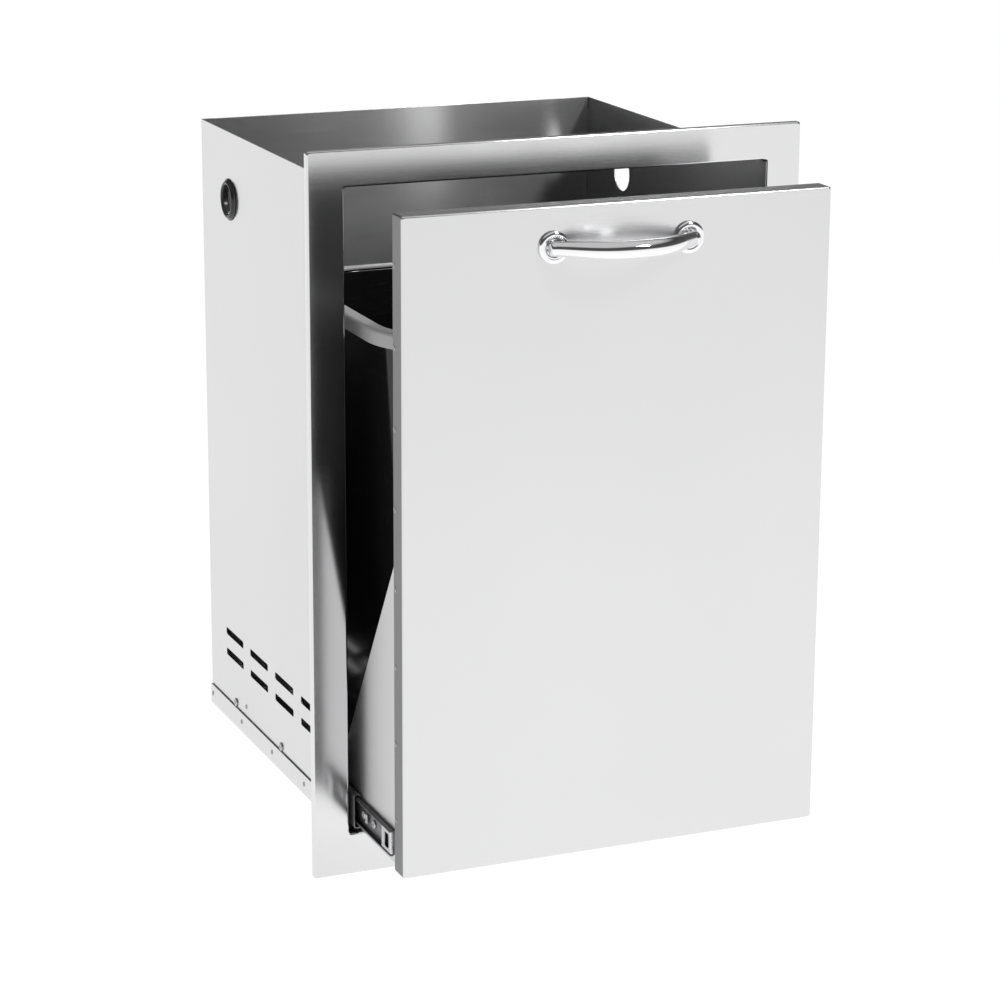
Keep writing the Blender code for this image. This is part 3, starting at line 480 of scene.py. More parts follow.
def loft(name, rings, cap_first=False, cap_last=False, join_ends=False):
    """A surface through a stack of closed rings of equal length."""
    mesh = bmesh.new()
    stack = [[mesh.verts.new(point) for point in ring] for ring in rings]
    pairs = list(zip(stack, stack[1:]))
    if join_ends:
        pairs.append((stack[-1], stack[0]))
    for ring, following in pairs:
        for i, vertex in enumerate(ring):
            j = (i + 1) % len(ring)
            mesh.faces.new((vertex, ring[j], following[j], following[i]))
    if cap_first:
        mesh.faces.new(reversed(stack[0]))
    if cap_last:
        mesh.faces.new(stack[-1])
    if join_ends or (cap_first and cap_last):
        bmesh.ops.recalc_face_normals(mesh, faces=mesh.faces)
    return from_bmesh(name, mesh)


def folded_sheet(name, path, along, low, high, thickness, inside=True):
    """A sheet bent along a path in one plane and drawn out along the axis across it."""
    mesh = bmesh.new()
    rows = []
    for a, b in path:
        ends = []
        for reach in (low, high):
            point = [a, b]
            point.insert(along, reach)
            ends.append(mesh.verts.new(point))
        rows.append(ends)
    for near, far in zip(rows, rows[1:]):
        mesh.faces.new((near[0], near[1], far[1], far[0]))
    return thicken(from_bmesh(name, mesh), thickness, inside)


def thicken(obj, thickness, inside=True):
    """Give an open surface its sheet thickness, on one side of it."""
    modifier = obj.modifiers.new("sheet", "SOLIDIFY")
    modifier.thickness = thickness
    modifier.offset = -1.0 if inside else 1.0
    modifier.use_even_offset = True
    return baked(obj)


def turned_rings(profile, centre, axis, steps):
    """Rings round an axis, from a profile of (radius, height) pairs."""
    turn = Vector((0, 0, 1)).rotation_difference(Vector(axis))
    rings = []
    for radius, height in profile:
        ring = []
        for step in range(steps):
            angle = 2 * pi * step / steps
            ring.append(Vector(centre) + turn @ Vector((radius * cos(angle), radius * sin(angle), height)))
        rings.append(ring)
    return rings


def turned(name, profile, centre, axis, steps=48):
    """A solid of revolution whose profile starts and ends near the axis."""
    return loft(name, turned_rings(profile, centre, axis, steps), cap_first=True, cap_last=True)


def prism(name, outlines, axis, low, high):
    """Upright prisms on flat outlines, drawn out along an axis."""
    mesh = bmesh.new()
    for outline in outlines:
        ends = []
        for reach in (low, high):
            ring = []
            for u, v in outline:
                point = [u, v]
                point.insert(axis, reach)
                ring.append(mesh.verts.new(point))
            ends.append(ring)
        first, last = ends
        for i, vertex in enumerate(first):
            j = (i + 1) % len(first)
            mesh.faces.new((vertex, first[j], last[j], last[i]))
        mesh.faces.new(reversed(first))
        mesh.faces.new(last)
    bmesh.ops.recalc_face_normals(mesh, faces=mesh.faces)
    return from_bmesh(name, mesh)


def box(name, low, high):
    """A block between two corners."""
    outline = ((low[0], low[1]), (high[0], low[1]), (high[0], high[1]), (low[0], high[1]))
    return prism(name, [outline], 2, low[2], high[2])


def circle(u, v, radius, steps=32):
    """Points round a circle."""
    turns = [2 * pi * step / steps for step in range(steps)]
    return [(u + radius * cos(turn), v + radius * sin(turn)) for turn in turns]


def baked(obj):
    """Apply an object's modifiers for good."""
    bpy.context.view_layer.update()
    evaluated = obj.evaluated_get(bpy.context.evaluated_depsgraph_get())
    mesh = bpy.data.meshes.new_from_object(evaluated)
    obj.modifiers.clear()
    obj.data = mesh
    return obj


def combine(obj, other, operation):
    """Cut another object from this one, or join it on, and do away with it."""
    modifier = obj.modifiers.new("combine", "BOOLEAN")
    modifier.operation = operation
    modifier.object = other
    baked(obj)
    bpy.data.objects.remove(other, do_unlink=True)
    return obj


def merged(name, pieces):
    """Several separate solids as one object."""
    mesh = bmesh.new()
    for piece in pieces:
        mesh.from_mesh(piece.data)
        bpy.data.objects.remove(piece, do_unlink=True)
    return from_bmesh(name, mesh)


def finish(obj, body, slot, *nodes, edge=EDGE, rounds=2, limit=40, look=None):
    """Soften the edges, shade the piece smooth, attach it to its body, give it the slot's material and
    hide the nodes it stands in for.

    The material is the slot's own, unless look names another.
    """
    for polygon in obj.data.polygons:
        polygon.use_smooth = True
    if edge:
        bevel = obj.modifiers.new("edges", "BEVEL")
        bevel.width = edge
        bevel.segments = rounds
        bevel.limit_method = "ANGLE"
        bevel.angle_limit = radians(limit)
    else:
        obj.data.set_sharp_from_angle(angle=radians(limit))
    normals = obj.modifiers.new("normals", "WEIGHTED_NORMAL")
    normals.keep_sharp = True
    baked(obj)
    obj.data.materials.clear()
    obj.data.materials.append(MATERIALS[look or slot])
    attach(obj, body)
    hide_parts(*nodes)
    return obj


def weld_rings(name, places, axis, body, slot):
    """The shallow rings that spot welds leave on a sheet."""
    profile = ((NEAR_AXIS, WELD_DIMPLE), (WELD_RADIUS * 0.45, WELD_DIMPLE * 2),
               (WELD_RADIUS * 0.68, WELD_RISE), (WELD_RADIUS * 0.85, WELD_RISE),
               (WELD_RADIUS, 0.0), (WELD_RADIUS, -WELD_SINK), (NEAR_AXIS, -WELD_SINK))
    rings = [turned(name, profile, place, axis, 20) for place in places]
    return finish(merged(name, rings), body, slot, edge=0, limit=60, look="weld")


def even(start, end, count):
    """Evenly spaced values, both ends included."""
    return [start + (end - start) * step / (count - 1) for step in range(count)]


# ---- housing ---------------------------------------------------------
def face_frame():
    """The flange round the opening: hem, outer edge, face and the fold that lines the opening."""
    depth_in = FRAME_HIGH.y - FRAME_LOW.y
    outline = rounded_path(
        ((FRAME_HEM, FRAME_DEPTH), (0, FRAME_DEPTH), (0, 0), (STILE, 0), (STILE, depth_in)), BEND)
    rings = []
    for inset, depth in outline:
        share = inset / STILE
        bottom = FRAME_LOW.z + RAIL_BOTTOM * share
        top = FRAME_HIGH.z - RAIL_TOP * share
        ring = rounded_rectangle(FRAME_LOW.x + inset, FRAME_HIGH.x - inset, bottom, top, FRAME_CORNER)
        rings.append([(x, FRAME_LOW.y + depth, z) for x, z in ring])
    shell = thicken(loft("face_frame_sheet", rings), SHEET)
    finish(shell, "housing", "frame_steel", "face_frame")


def vent_cutter():
    """Both rows of slots, long enough to pass through both side walls."""
    first = VENT_MIDDLE_Y - VENT_PITCH * (VENT_COLUMNS - 1) / 2
    outlines = []
    for z in VENT_ROWS:
        for column in range(VENT_COLUMNS):
            middle = first + VENT_PITCH * column
            outlines.append(rounded_rectangle(middle - VENT_LENGTH / 2, middle + VENT_LENGTH / 2,
                                              z - VENT_HEIGHT / 2, z + VENT_HEIGHT / 2, VENT_CORNER))
    return prism("vent_cutter", outlines, 0, -ACROSS_HOUSING, ACROSS_HOUSING)


def side_wall(side, sign):
    """A side wall with its fold behind the back panel, its vents and its round port."""
    corner = (WALL_HIGH.x, WALL_HIGH.y)
    path = rounded_path(
        ((WALL_HIGH.x, WALL_LOW.y), corner, (WALL_HIGH.x - WALL_RETURN, WALL_HIGH.y)), BEND)
    wall = folded_sheet(f"{side}_wall_sheet", [(sign * x, y) for x, y in path], 2,
                        WALL_LOW.z, WALL_HIGH.z, SHEET, inside=sign < 0)
    combine(wall, vent_cutter(), "DIFFERENCE")
    port = prism("port_cutter", [circle(PORT_Y, PORT_Z, PORT_RADIUS, 64)], 0,
                 -ACROSS_HOUSING, ACROSS_HOUSING)
    combine(wall, port, "DIFFERENCE")
    finish(wall, "housing", "housing_steel", f"{side}_side_wall")


def back_panel():
    """The flat back panel."""
    low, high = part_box("back_panel")
    finish(box("back_sheet", low, high), "housing", "housing_steel", "back_panel")


def base_pan():
    """The base, whose upturned lips clasp the side walls from outside."""
    left, right = BASE_LOW.x, BASE_HIGH.x
    path = rounded_path(((left, BASE_HIGH.z), (left, BASE_LOW.z), (right, BASE_LOW.z),
                         (right, BASE_HIGH.z)), BASE_BEND)
    pan = folded_sheet("base_sheet", path, 1, BASE_LOW.y, BASE_HIGH.y, SHEET)
    finish(pan, "housing", "housing_steel", "base_pan")


def housing_welds():
    """Spot welds along the base pan's lips and the folds behind the back panel."""
    for side, sign in SIDES:
        lip = [(sign * BASE_HIGH.x, y, BASE_HIGH.z * 0.55) for y in even(*LIP_WELDS_Y, 5)]
        lip.append((sign * WALL_HIGH.x, *WALL_WELD))
        weld_rings(f"lip_welds_{side}", lip, (sign, 0, 0), "housing", "housing_steel")
        fold = [(sign * (WALL_HIGH.x - WALL_RETURN / 2), WALL_HIGH.y, z)
                for z in even(*FOLD_WELDS_Z, 7)]
        weld_rings(f"fold_welds_{side}", fold, (0, 1, 0), "housing", "housing_steel")


def grommet():
    """A moulded ring that lines the left wall's port."""
    low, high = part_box("left_grommet")
    lip = (high.z - low.z) / 2
    neck = PORT_RADIUS - SEAM
    bore = GROMMET_BORE
    bead = GROMMET_BEAD
    proud = GROMMET_PROUD
    groove = SHEET / 2 + SEAM
    back_lip = lip - GROMMET_BACK
    profile = [(bore, -proud * 0.45)]
    for step in range(9):
        turn = pi * step / 8
        profile.append((bore + bead - bead * cos(turn), proud * 0.52 + proud * 0.48 * sin(turn)))
    profile += [(bore + bead * 2 + GROMMET_EASE, proud * 0.40), (lip - GROMMET_EASE, proud * 0.36),
                (lip, proud * 0.26), (lip, groove), (neck, groove), (neck, -groove),
                (back_lip, -groove), (back_lip, -proud * 0.5), (lip - bead, -proud * 0.68),
                (bore + GROMMET_BACK, -proud * 0.68)]
    centre = (-(WALL_HIGH.x - SHEET / 2), PORT_Y, PORT_Z)
    ring = loft("grommet_ring", turned_rings(profile, centre, (-1, 0, 0), 64), join_ends=True)
    finish(ring, "housing", "rubber", "left_grommet", edge=0, limit=50)


# ---- screws ----------------------------------------------------------
def screw_shape():
    """A pan head with a cross recess on a short shank, standing on the origin along +Z."""
    radius = SCREW_HEAD
    profile = [(NEAR_AXIS, SCREW_RISE)]
    for step in range(1, 8):
        turn = pi / 2 * step / 7
        profile.append((radius * (0.45 + 0.55 * sin(turn)), SCREW_RISE * (0.30 + 0.70 * cos(turn))))
    profile += [(radius, 0.0), (SHANK_RADIUS, 0.0), (SHANK_RADIUS, -SHANK_LENGTH),
                (NEAR_AXIS, -SHANK_LENGTH)]
    head = turned("screw_shape", profile, (0, 0, 0), (0, 0, 1), 40)
    for reach_x, reach_y in ((RECESS_ARM, RECESS_HALF), (RECESS_HALF, RECESS_ARM)):
        slot = box("recess", (-reach_x, -reach_y, RECESS_FLOOR), (reach_x, reach_y, RECESS_TOP))
        combine(head, slot, "DIFFERENCE")
    finish(head, "housing", "zinc", edge=SCREW_EDGE, rounds=1, limit=35)
    return head


def screws():
    """Every screw of the object, each a copy of one shape, with its shank in the sheet."""
    pattern = screw_shape()
    for body, names in frame["record"]["behaviour"]["bodies"].items():
        for name in names:
            if "_screw_" not in name:
                continue
            low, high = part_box(name)
            middle = (low + high) / 2
            if name.startswith("handle"):
                axis, seat = Vector((0, 1, 0)), Vector((middle.x, high.y - SCREW_RISE, middle.z))
            else:
                axis = Vector((1 if middle.x > 0 else -1, 0, 0))
                outer = max(abs(low.x), abs(high.x))
                seat = Vector((axis.x * (outer - SCREW_RISE), middle.y, middle.z))
            one = bpy.data.objects.new(f"{name}_detail", pattern.data)
            one.matrix_world = Matrix.Translation(seat) @ \
                Vector((0, 0, 1)).rotation_difference(axis).to_matrix().to_4x4()
            bpy.context.scene.collection.objects.link(one)
            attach(one, body)
            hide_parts(name)
    bpy.data.objects.remove(pattern, do_unlink=True)


# ---- slides ----------------------------------------------------------
def channel(name, node, sign, opens_in, race, slots):
    """A slide member: a web with slots in it and two lips rolled into ball races.

    It opens towards the drawer, or away from it.
    """
    low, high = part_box(node)
    near, far = sorted((abs(low.x), abs(high.x)), reverse=True)
    web, lip = (near, far) if opens_in else (far, near)
    half = (high.z - low.z) / 2
    toward = -1 if opens_in else 1
    width = abs(lip - web)
    middle = (low.z + high.z) / 2
    upper = [(web, 0.0), (web, half - race * 1.2)]
    for step in range(7):
        turn = pi / 2 * step / 6
        upper.append((web + toward * race * (1 - cos(turn)), half - race + race * sin(turn)))
    upper += [(web + toward * (width - race * 0.6), half), (lip, half - race * 0.35)]
    lower = [(x, -z) for x, z in reversed(upper[1:])]
    points = [(sign * x, middle + z) for x, z in [*lower, *upper]]
    member = folded_sheet(name, points, 1, low.y, high.y, SHEET, inside=(sign > 0) == opens_in)
    outlines = []
    for start, end in slots:
        outlines.append(rounded_rectangle(low.y + start, low.y + end, middle - SLOT_HALF,
                                          middle + SLOT_HALF, SLOT_CORNER))
    reach = sorted((sign * (web - CUT), sign * (web + CUT)))
    return combine(member, prism("slot_cutter", outlines, 0, *reach), "DIFFERENCE")


def slide(side, sign):
    """The members, cages, clip, tab and stop of one slide."""
    members = (("outer", "housing", True, OUTER_CHANNEL),
               ("middle", f"middle_member_{side}", True, MIDDLE_CHANNEL),
               ("inner", "drawer", False, INNER_CHANNEL))
    for which, body, opens_in, pattern in members:
        node = f"{which}_rail_{side}"
        member = channel(f"{which}_member_{side}", node, sign, opens_in, *pattern)
        finish(member, body, "slide_steel", node)
    for cage in ("outer", "inner"):
        ball_cage(cage, side, sign)
    slide_clip(side, sign)
    stamped_tab(side, sign)
    stop(side)


def ball_cage(which, side, sign):
    """A pressed strip with windows, and two rows of round balls."""
    node = f"{which}_ball_cage_{side}"
    low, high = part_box(node)
    near, far = sorted((abs(low.x), abs(high.x)), reverse=True)
    middle = (low.z + high.z) / 2
    half = (high.z - low.z) / 2 - CAGE_INSET
    path = rounded_path(((far, half), (near, half), (near, -half), (far, -half)), CAGE_BEND, 4)
    cage = folded_sheet(f"{which}_cage_strip_{side}", [(sign * x, middle + z) for x, z in path], 1,
                        low.y, high.y, CAGE_SHEET, inside=sign < 0)
    pitch = (high.y - low.y) / BALLS_IN_ROW
    long, tall = pitch * WINDOW_LENGTH, half * WINDOW_HEIGHT
    windows = []
    for index in range(1, BALLS_IN_ROW):
        y = low.y + pitch * index
        windows.append(rounded_rectangle(y - long, y + long, middle - tall, middle + tall,
                                         WINDOW_CORNER))
    reach = sorted((sign * (near - WINDOW_CUT), sign * (near + WINDOW_CUT)))
    combine(cage, prism("window_cutter", windows, 0, *reach), "DIFFERENCE")
    body = f"{which}_cage_{side}"
    finish(cage, body, "zinc", node, edge=CAGE_EDGE)
    balls = bmesh.new()
    for row in (-1, 1):
        for index in range(BALLS_IN_ROW):
            place = (sign * ((near + far) / 2 - BALL_OFFSET), low.y + pitch * (index + 0.5),
                     middle + row * (half - CAGE_SHEET / 2))
            bmesh.ops.create_uvsphere(balls, u_segments=20, v_segments=12, radius=BALL_RADIUS,
                                      matrix=Matrix.Translation(place))
    finish(from_bmesh(f"{which}_balls_{side}", balls), body, "zinc", edge=0, limit=60)


def slide_clip(side, sign):
    """The bright clip in the front end of the inner member."""
    node = f"slide_end_clip_{side}"
    low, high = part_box(node)
    near, far = sorted((abs(low.x), abs(high.x)), reverse=True)
    path = rounded_path(((far, low.y), (near, low.y), (near, high.y), (far, high.y)), CLIP_BEND, 5)
    clip = folded_sheet(f"end_clip_{side}", [(sign * x, y) for x, y in path], 2, low.z, high.z, SHEET,
                        inside=sign < 0)
    window = rounded_rectangle(low.y + CLIP_MARGIN_FRONT, high.y - CLIP_MARGIN_REAR,
                               low.z + CLIP_MARGIN, high.z - CLIP_MARGIN, CLIP_CORNER)
    reach = sorted((sign * (near - CUT), sign * (near + CUT)))
    combine(clip, prism("clip_window", [window], 0, *reach), "DIFFERENCE")
    finish(clip, "drawer", "zinc", node)


def stamped_tab(side, sign):
    """An L-shaped tab lanced out of the inner member's web, between its front screws."""
    low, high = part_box(f"inner_rail_{side}")
    web = min(abs(low.x), abs(high.x)) + SHEET
    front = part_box(f"drawer_screw_{side}_front")
    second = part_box(f"drawer_screw_{side}_middle")
    y = (front[0].y + front[1].y + second[0].y + second[1].y) / 4
    root, tip = y + TAB_LENGTH, web + TAB_OUT
    path = rounded_path(((web, root), (tip, root), (tip, y)), TAB_BEND, 4)
    tab = folded_sheet(f"stamped_tab_{side}", [(sign * x, v) for x, v in path], 2,
                       SLIDE_Z - TAB_HALF, SLIDE_Z + TAB_HALF, TAB_SHEET, inside=sign > 0)
    finish(tab, "drawer", "zinc", edge=TAB_EDGE)


def stop(side):
    """The grooved rubber stop at the rear end of the outer member."""
    node = f"rail_bumper_{side}"
    low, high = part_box(node)
    block = box(f"rubber_stop_{side}", low, high)
    front, floor_y = low.y - SHORT_CUT, low.y + GROOVE_DEPTH
    grooves = []
    for z in even(low.z + GROOVE_MARGIN, high.z - GROOVE_MARGIN, GROOVES):
        bottom, top = z - GROOVE_HALF, z + GROOVE_HALF
        grooves.append(((front, bottom), (floor_y, bottom), (floor_y, top), (front, top)))
    cutter = prism("groove_cutter", grooves, 0, low.x - SHORT_CUT, high.x + SHORT_CUT)
    combine(block, cutter, "DIFFERENCE")
    finish(block, "housing", "rubber", node, edge=STOP_EDGE)


def release_lever(side, sign):
    """The sprung plastic lever, waisted behind its thumb pad."""
    node = f"release_lever_{side}"
    low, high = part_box(node)
    half = (high.z - low.z) / 2
    middle = (low.z + high.z) / 2
    length = high.y - low.y
    outline = []
    for share, width in LEVER_OUTLINE:
        outline.append((low.y + length * share, middle + half * width))
    outline += [(y, 2 * middle - z) for y, z in reversed(outline)]
    near, far = sorted((abs(low.x), abs(high.x)), reverse=True)
    reach = sorted((sign * near, sign * (near - LEVER_SHEET)))
    plate = prism(f"lever_plate_{side}", [outline], 0, *reach)
    pad = [circle(low.y + length * share, middle, DOT_RADIUS, 12) for share in DOTS]
    reach = sorted((sign * (near - DOT_DEPTH), sign * (near + SHORT_CUT)))
    combine(plate, prism("dot_cutter", pad, 0, *reach), "DIFFERENCE")
    pin = circle(high.y - PIVOT_INSET, middle, PIVOT_RADIUS, 24)
    reach = sorted((sign * far, sign * (near - PIVOT_SINK)))
    combine(plate, prism("pivot", [pin], 0, *reach), "UNION")
    finish(plate, f"lever_{side}", "nylon", node, edge=LEVER_EDGE, rounds=1)


# ---- drawer ----------------------------------------------------------
def door_rings(outline, clearance):
    """Rings in the door's shape, from (inset, depth behind the door's face) pairs."""
    rings = []
    for inset, depth in outline:
        reach = inset + clearance
        corner = max(DOOR_CORNER - reach * CORNER_LOSS, DOOR_CORNER_LEAST)
        ring = rounded_rectangle(DOOR_LOW.x + reach, DOOR_HIGH.x - reach, DOOR_LOW.z + reach,
                                 DOOR_HIGH.z - reach, corner)
        rings.append([(x, DOOR_LOW.y + depth, z) for x, z in ring])
    return rings


def door():
    """The front skin, a pan folded back round its edges, and the liner inside it, tinted dark as painted
    shade.
    """
    depth = DOOR_HIGH.y - DOOR_LOW.y
    outline = rounded_path(((0, depth), (0, 0), (DOOR_BORDER, 0)), BEND, 8)
    skin = thicken(loft("door_skin", door_rings(outline, 0), cap_last=True), SKIN)
    finish(skin, "drawer", "door_steel", "door_front_panel")
    outline = rounded_path(((0, depth - LINER_FLANGE), (0, depth), (DOOR_BORDER, depth)), BEND * 0.6)
    painted_shade_liner = thicken(loft("door_liner", door_rings(outline, SKIN + SEAM), cap_last=True), SKIN, False)
    # the liner's dark look is painted shade
    finish(painted_shade_liner, "drawer", "door_steel", "door_back_panel", look="painted_shade_liner")
    for side, sign in SIDES:
        marks = [(sign * DOOR_HIGH.x, DOOR_HIGH.y - DOOR_WELD_INSET, z)
                 for z in even(*DOOR_WELDS_Z, 8)]
        weld_rings(f"door_welds_{side}", marks, (sign, 0, 0), "drawer", "door_steel")


def side_bracket(side, sign):
    """A gusset with a front and a bottom flange, folded from one plate."""
    node = f"side_bracket_{side}"
    low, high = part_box(node)
    outer = max(abs(low.x), abs(high.x))
    plate_outline = ((low.y, low.z), (high.y, low.z), (high.y, BRACKET_LOW),
                     (low.y + BRACKET_SLOPE, BRACKET_LOW), (low.y, high.z))
    reach = sorted((sign * outer, sign * (outer - SHEET)))
    gusset = prism(f"gusset_{side}", [plate_outline], 0, *reach)
    x_low, x_high = sorted((sign * (outer - FLANGE), sign * (outer - SHEET / 2)))
    corner = (x_low, low.y, low.z)
    front = box("front_flange", corner, (x_high, low.y + SHEET, high.z - FLANGE_DROP))
    combine(gusset, front, "UNION")
    bottom = box("bottom_flange", corner, (x_high, high.y, low.z + SHEET))
    combine(gusset, bottom, "UNION")
    finish(gusset, "drawer", "drawer_steel", node, edge=BRACKET_EDGE)


def tray():
    """The floor under the bin, with its welds to the brackets."""
    low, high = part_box("drawer_tray")
    path = rounded_path(((low.y, high.z), (low.y, low.z), (high.y, low.z), (high.y, high.z)), BEND)
    sheet = folded_sheet("tray_sheet", path, 0, low.x, high.x, SHEET, inside=False)
    finish(sheet, "drawer", "drawer_steel", "drawer_tray")
    for side, sign in SIDES:
        marks = [(sign * (high.x - TRAY_WELD_INSET), y, low.z + SHEET)
                 for y in even(low.y + TRAY_WELD_MARGIN, high.y - TRAY_WELD_MARGIN, 6)]
        weld_rings(f"tray_welds_{side}", marks, (0, 0, 1), "drawer", "drawer_steel")


def cross_panel():
    """The low panel that ties the brackets together behind the bin."""
    low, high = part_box("rear_cross_panel")
    path = rounded_path(((low.x, low.y), (low.x, high.y), (high.x, high.y), (high.x, low.y)), BEND)
    sheet = folded_sheet("cross_panel_sheet", path, 2, low.z, high.z, SHEET)
    bottom, top = (low.z + height for height in HAND_SLOT_Z)
    slots = [rounded_rectangle(x - HAND_SLOT / 2, x + HAND_SLOT / 2, bottom, top, HAND_SLOT_CORNER)
             for x in HAND_SLOTS_X]
    reach = (high.y + end for end in HAND_SLOT_CUT)
    combine(sheet, prism("hand_slots", slots, 1, *reach), "DIFFERENCE")
    finish(sheet, "drawer", "drawer_steel", "rear_cross_panel")


# ---- handle ----------------------------------------------------------
def bezier(points, share):
    """A point on a cubic curve."""
    a, b, c, d = points
    rest = 1 - share
    return a * rest ** 3 + b * 3 * rest ** 2 * share + c * 3 * rest * share ** 2 + d * share ** 3


def bow_path():
    """Stations along the bow, from one blunt end to the other: (place, radius)."""
    half_span = sum(corner.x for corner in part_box("handle_rosette_right")) / 2
    start = Vector((-half_span, -HANDLE_LIFT))
    peak = Vector((0, -HANDLE_REACH))
    half = (start, start + Vector(BOW_START), peak - Vector((BOW_PEAK, 0)), peak)
    stations = []
    for step in range(7):
        turn = pi / 2 * step / 6
        back = Vector((BLUNT_END * cos(turn), -BLUNT_LEAN * BLUNT_END * cos(turn)))
        stations.append((start - back, HANDLE_END * (0.30 + 0.70 * sin(turn) ** 0.5)))
    for step in range(1, 25):
        share = step / 24
        swell = HANDLE_END + (HANDLE_MIDDLE - HANDLE_END) * (1 - (1 - share) ** 2)
        stations.append((bezier(half, share), swell))
    mirrored = [(Vector((-place.x, place.y)), radius) for place, radius in reversed(stations[:-1])]
    return half_span, stations + mirrored


def handle():
    """The chrome bow, its posts and its domed rosettes."""
    half_span, stations = bow_path()
    ring_low, ring_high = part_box("handle_rosette_right")
    door_y = ring_high.y
    z = (ring_low.z + ring_high.z) / 2
    sides = 40
    rings = []
    for index, (place, radius) in enumerate(stations):
        before = stations[max(index - 1, 0)][0]
        after = stations[min(index + 1, len(stations) - 1)][0]
        along = (after - before).normalized()
        across = Vector((-along.y, along.x))
        ring = []
        for step in range(sides):
            turn = 2 * pi * step / sides
            flat = place + across * radius * cos(turn)
            ring.append((flat.x, DOOR_LOW.y + flat.y, z + radius * sin(turn)))
        rings.append(ring)
    bow = loft("handle_bow", rings, cap_first=True, cap_last=True)
    for side, sign in SIDES:
        post = prism("post", [circle(sign * half_span, z, HANDLE_END * POST_SHARE, 32)], 1,
                     DOOR_LOW.y - HANDLE_LIFT, DOOR_LOW.y - SEAM)
        combine(bow, post, "UNION")
    finish(bow, "drawer", "handle_chrome", "handle_bar", edge=0, limit=50)
    for side, sign in SIDES:
        radius = (ring_high.x - ring_low.x) / 2
        height = ring_high.y - ring_low.y
        bore = HANDLE_END + ROSETTE_BORE_GAP
        crest = (radius + bore) / 2
        profile = [(bore, 0.0)]
        for step in range(17):
            turn = pi * step / 16
            rise = ROSETTE_RIM + (1 - ROSETTE_RIM) * sin(turn)
            profile.append((crest - (crest - bore) * cos(turn), height * rise))
        profile.append((radius, 0.0))
        centre = (sign * half_span, door_y, z)
        ring = loft(f"rosette_{side}", turned_rings(profile, centre, (0, -1, 0), 64), join_ends=True)
        finish(ring, "drawer", "handle_chrome", f"handle_rosette_{side}", edge=0, limit=50)


# ---- bin -------------------------------------------------------------
def bin_rings(outline):
    """Rings in the tub's plan shape, from (inset from the ring's outside, height) pairs."""
    rings = []
    for inset, height in outline:
        ring = rounded_rectangle(RING_LOW.x + inset, RING_HIGH.x - inset, RING_LOW.y + inset,
                                 RING_HIGH.y - inset, BIN_CORNER - inset * CORNER_LOSS, steps=16)
        rings.append([(x, y, height) for x, y in ring])
    return rings


def waste_bin():
    """The black tub with its turned-down lip, and the grey ring over its mouth."""
    top = RING_HIGH.z
    lip_inset = BIN_WALL + RING_CLEARANCE
    lip_top = BIN_HIGH.z
    floor = BIN_LOW.z + BIN_WALL
    slope = BIN_TAPER / (top - floor)
    wall_start = lip_top - 2 * BIN_LIP
    outline = rounded_path(((lip_inset, lip_top - BIN_LIP), (lip_inset, lip_top), (BIN_RIM, lip_top),
                            (BIN_RIM + slope * (top - wall_start), wall_start)), BIN_FOLD, 6)
    for step in range(9):
        turn = pi / 2 * step / 8
        inset = BIN_RIM + BIN_TAPER + BIN_FOOT * (1 - cos(turn))
        outline.append((inset, floor + BIN_FOOT * (1 - sin(turn))))
    tub = thicken(loft("tub", bin_rings(outline), cap_last=True), BIN_WALL)
    finish(tub, "bin", "bin_plastic", "waste_bin", edge=BIN_EDGE)
    outline = rounded_path(((0, top - RING_SKIRT), (0, top), (BIN_RIM + BIN_WALL, top)), BIN_FOLD, 8)
    ring = thicken(loft("bag_ring_rim", bin_rings(outline)), BIN_WALL)
    finish(ring, "bin", "rim_plastic", "bag_ring", edge=BIN_EDGE)


# ---- camera, light and floor -----------------------------------------
def place_camera():
    """The view from the front left, a little above."""
    yaw, pitch, roll = radians(CAMERA_YAW), radians(CAMERA_PITCH), radians(CAMERA_ROLL)
    back = Vector((sin(yaw) * cos(pitch), -cos(yaw) * cos(pitch), sin(pitch)))
    right = (-back).cross(Vector((0, 0, 1))).normalized()
    up = right.cross(-back)
    rolled_right = right * cos(roll) + up * sin(roll)
    rolled_up = up * cos(roll) - right * sin(roll)
    turn = Matrix((rolled_right, rolled_up, back)).transposed()
    data = bpy.data.cameras.new("camera")
    data.sensor_width = CAMERA_SENSOR
    data.lens = CAMERA_LENS
    data.clip_end = CAMERA_RANGE
    camera = bpy.data.objects.new("camera", data)
    camera.matrix_world = Matrix.Translation(CAMERA_PLACE) @ turn.to_4x4()
    bpy.context.scene.collection.objects.link(camera)
    bpy.context.scene.camera = camera


def key_light():
    """A small square light, high at the front right."""
    data = bpy.data.lights.new("key", "AREA")
    data.shape = "SQUARE"
    data.size = KEY_SIZE
    data.energy = KEY_POWER
    lamp = bpy.data.objects.new("key", data)
    lamp.location = KEY_PLACE
    aim = Vector(KEY_TARGET) - Vector(KEY_PLACE)
    lamp.rotation_euler = aim.to_track_quat("-Z", "Y").to_euler()
    bpy.context.scene.collection.objects.link(lamp)


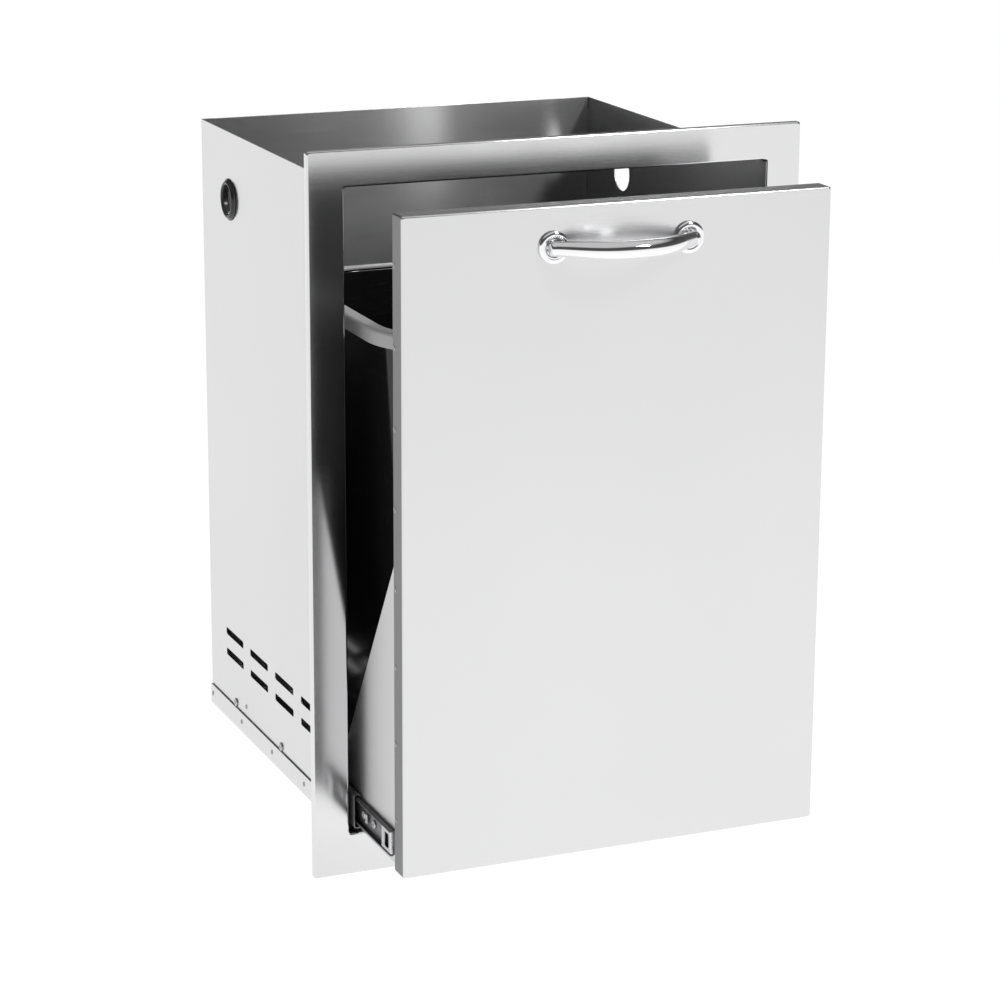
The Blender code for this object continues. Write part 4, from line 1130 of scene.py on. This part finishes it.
def sky():
    """A white horizon, a dark band above it and a pale ceiling, from the bands in SKY_BANDS."""
    world = bpy.data.worlds.new("studio")
    world.use_nodes = True
    bpy.context.scene.world = world
    tree = world.node_tree
    background = tree.nodes["Background"]
    place = tree.nodes.new("ShaderNodeTexCoord")
    split = tree.nodes.new("ShaderNodeSeparateXYZ")
    tree.links.new(place.outputs["Generated"], split.inputs["Vector"])
    ramp = tree.nodes.new("ShaderNodeValToRGB")
    stops = ramp.color_ramp.elements
    for height, level in SKY_BANDS[1:-1]:
        stops.new(height)
    for stop, (height, level) in zip(stops, SKY_BANDS):
        stop.position = height
        stop.color = (level, level, level, 1)
    tree.links.new(split.outputs["Z"], ramp.inputs["Fac"])
    tree.links.new(ramp.outputs["Color"], background.inputs["Color"])


def floor():
    """A plain floor, pale mostly by its own glow, like a lit table."""
    mesh = bmesh.new()
    bmesh.ops.create_grid(mesh, x_segments=1, y_segments=1, size=FLOOR_HALF)
    ground = from_bmesh("floor", mesh)
    ground.location = (0, 0, cad_bounds[0][2] - FLOOR_DROP)
    recipe = Recipe("floor")
    patch = recipe.noise(0.8)
    recipe.link(recipe.mix(recipe.span(patch, 0.0, 1.0), *FLOOR_TINTS),
                recipe.shader.inputs["Base Color"])
    recipe.fix(Roughness=0.9, Specular_IOR_Level=0.0, Emission_Color=(1, 1, 1, 1),
               Emission_Strength=FLOOR_GLOW)
    ground.data.materials.append(recipe.material)


# ---- everything in place ---------------------------------------------
SLOT_OF = {entry["node"]: entry["material_slot"] for entry in frame["record"]["subparts"]}
for node_name, node in frame["nodes"].items():
    node.data.materials.clear()
    node.data.materials.append(MATERIALS[SLOT_OF[node_name]])

face_frame()
for wall_side, wall_sign in SIDES:
    side_wall(wall_side, wall_sign)
    slide(wall_side, wall_sign)
    release_lever(wall_side, wall_sign)
    side_bracket(wall_side, wall_sign)
back_panel()
base_pan()
housing_welds()
grommet()
door()
tray()
cross_panel()
handle()
waste_bin()
screws()

place_camera()
sky()
floor()
key_light()
bpy.context.scene.view_settings.view_transform = "Standard"
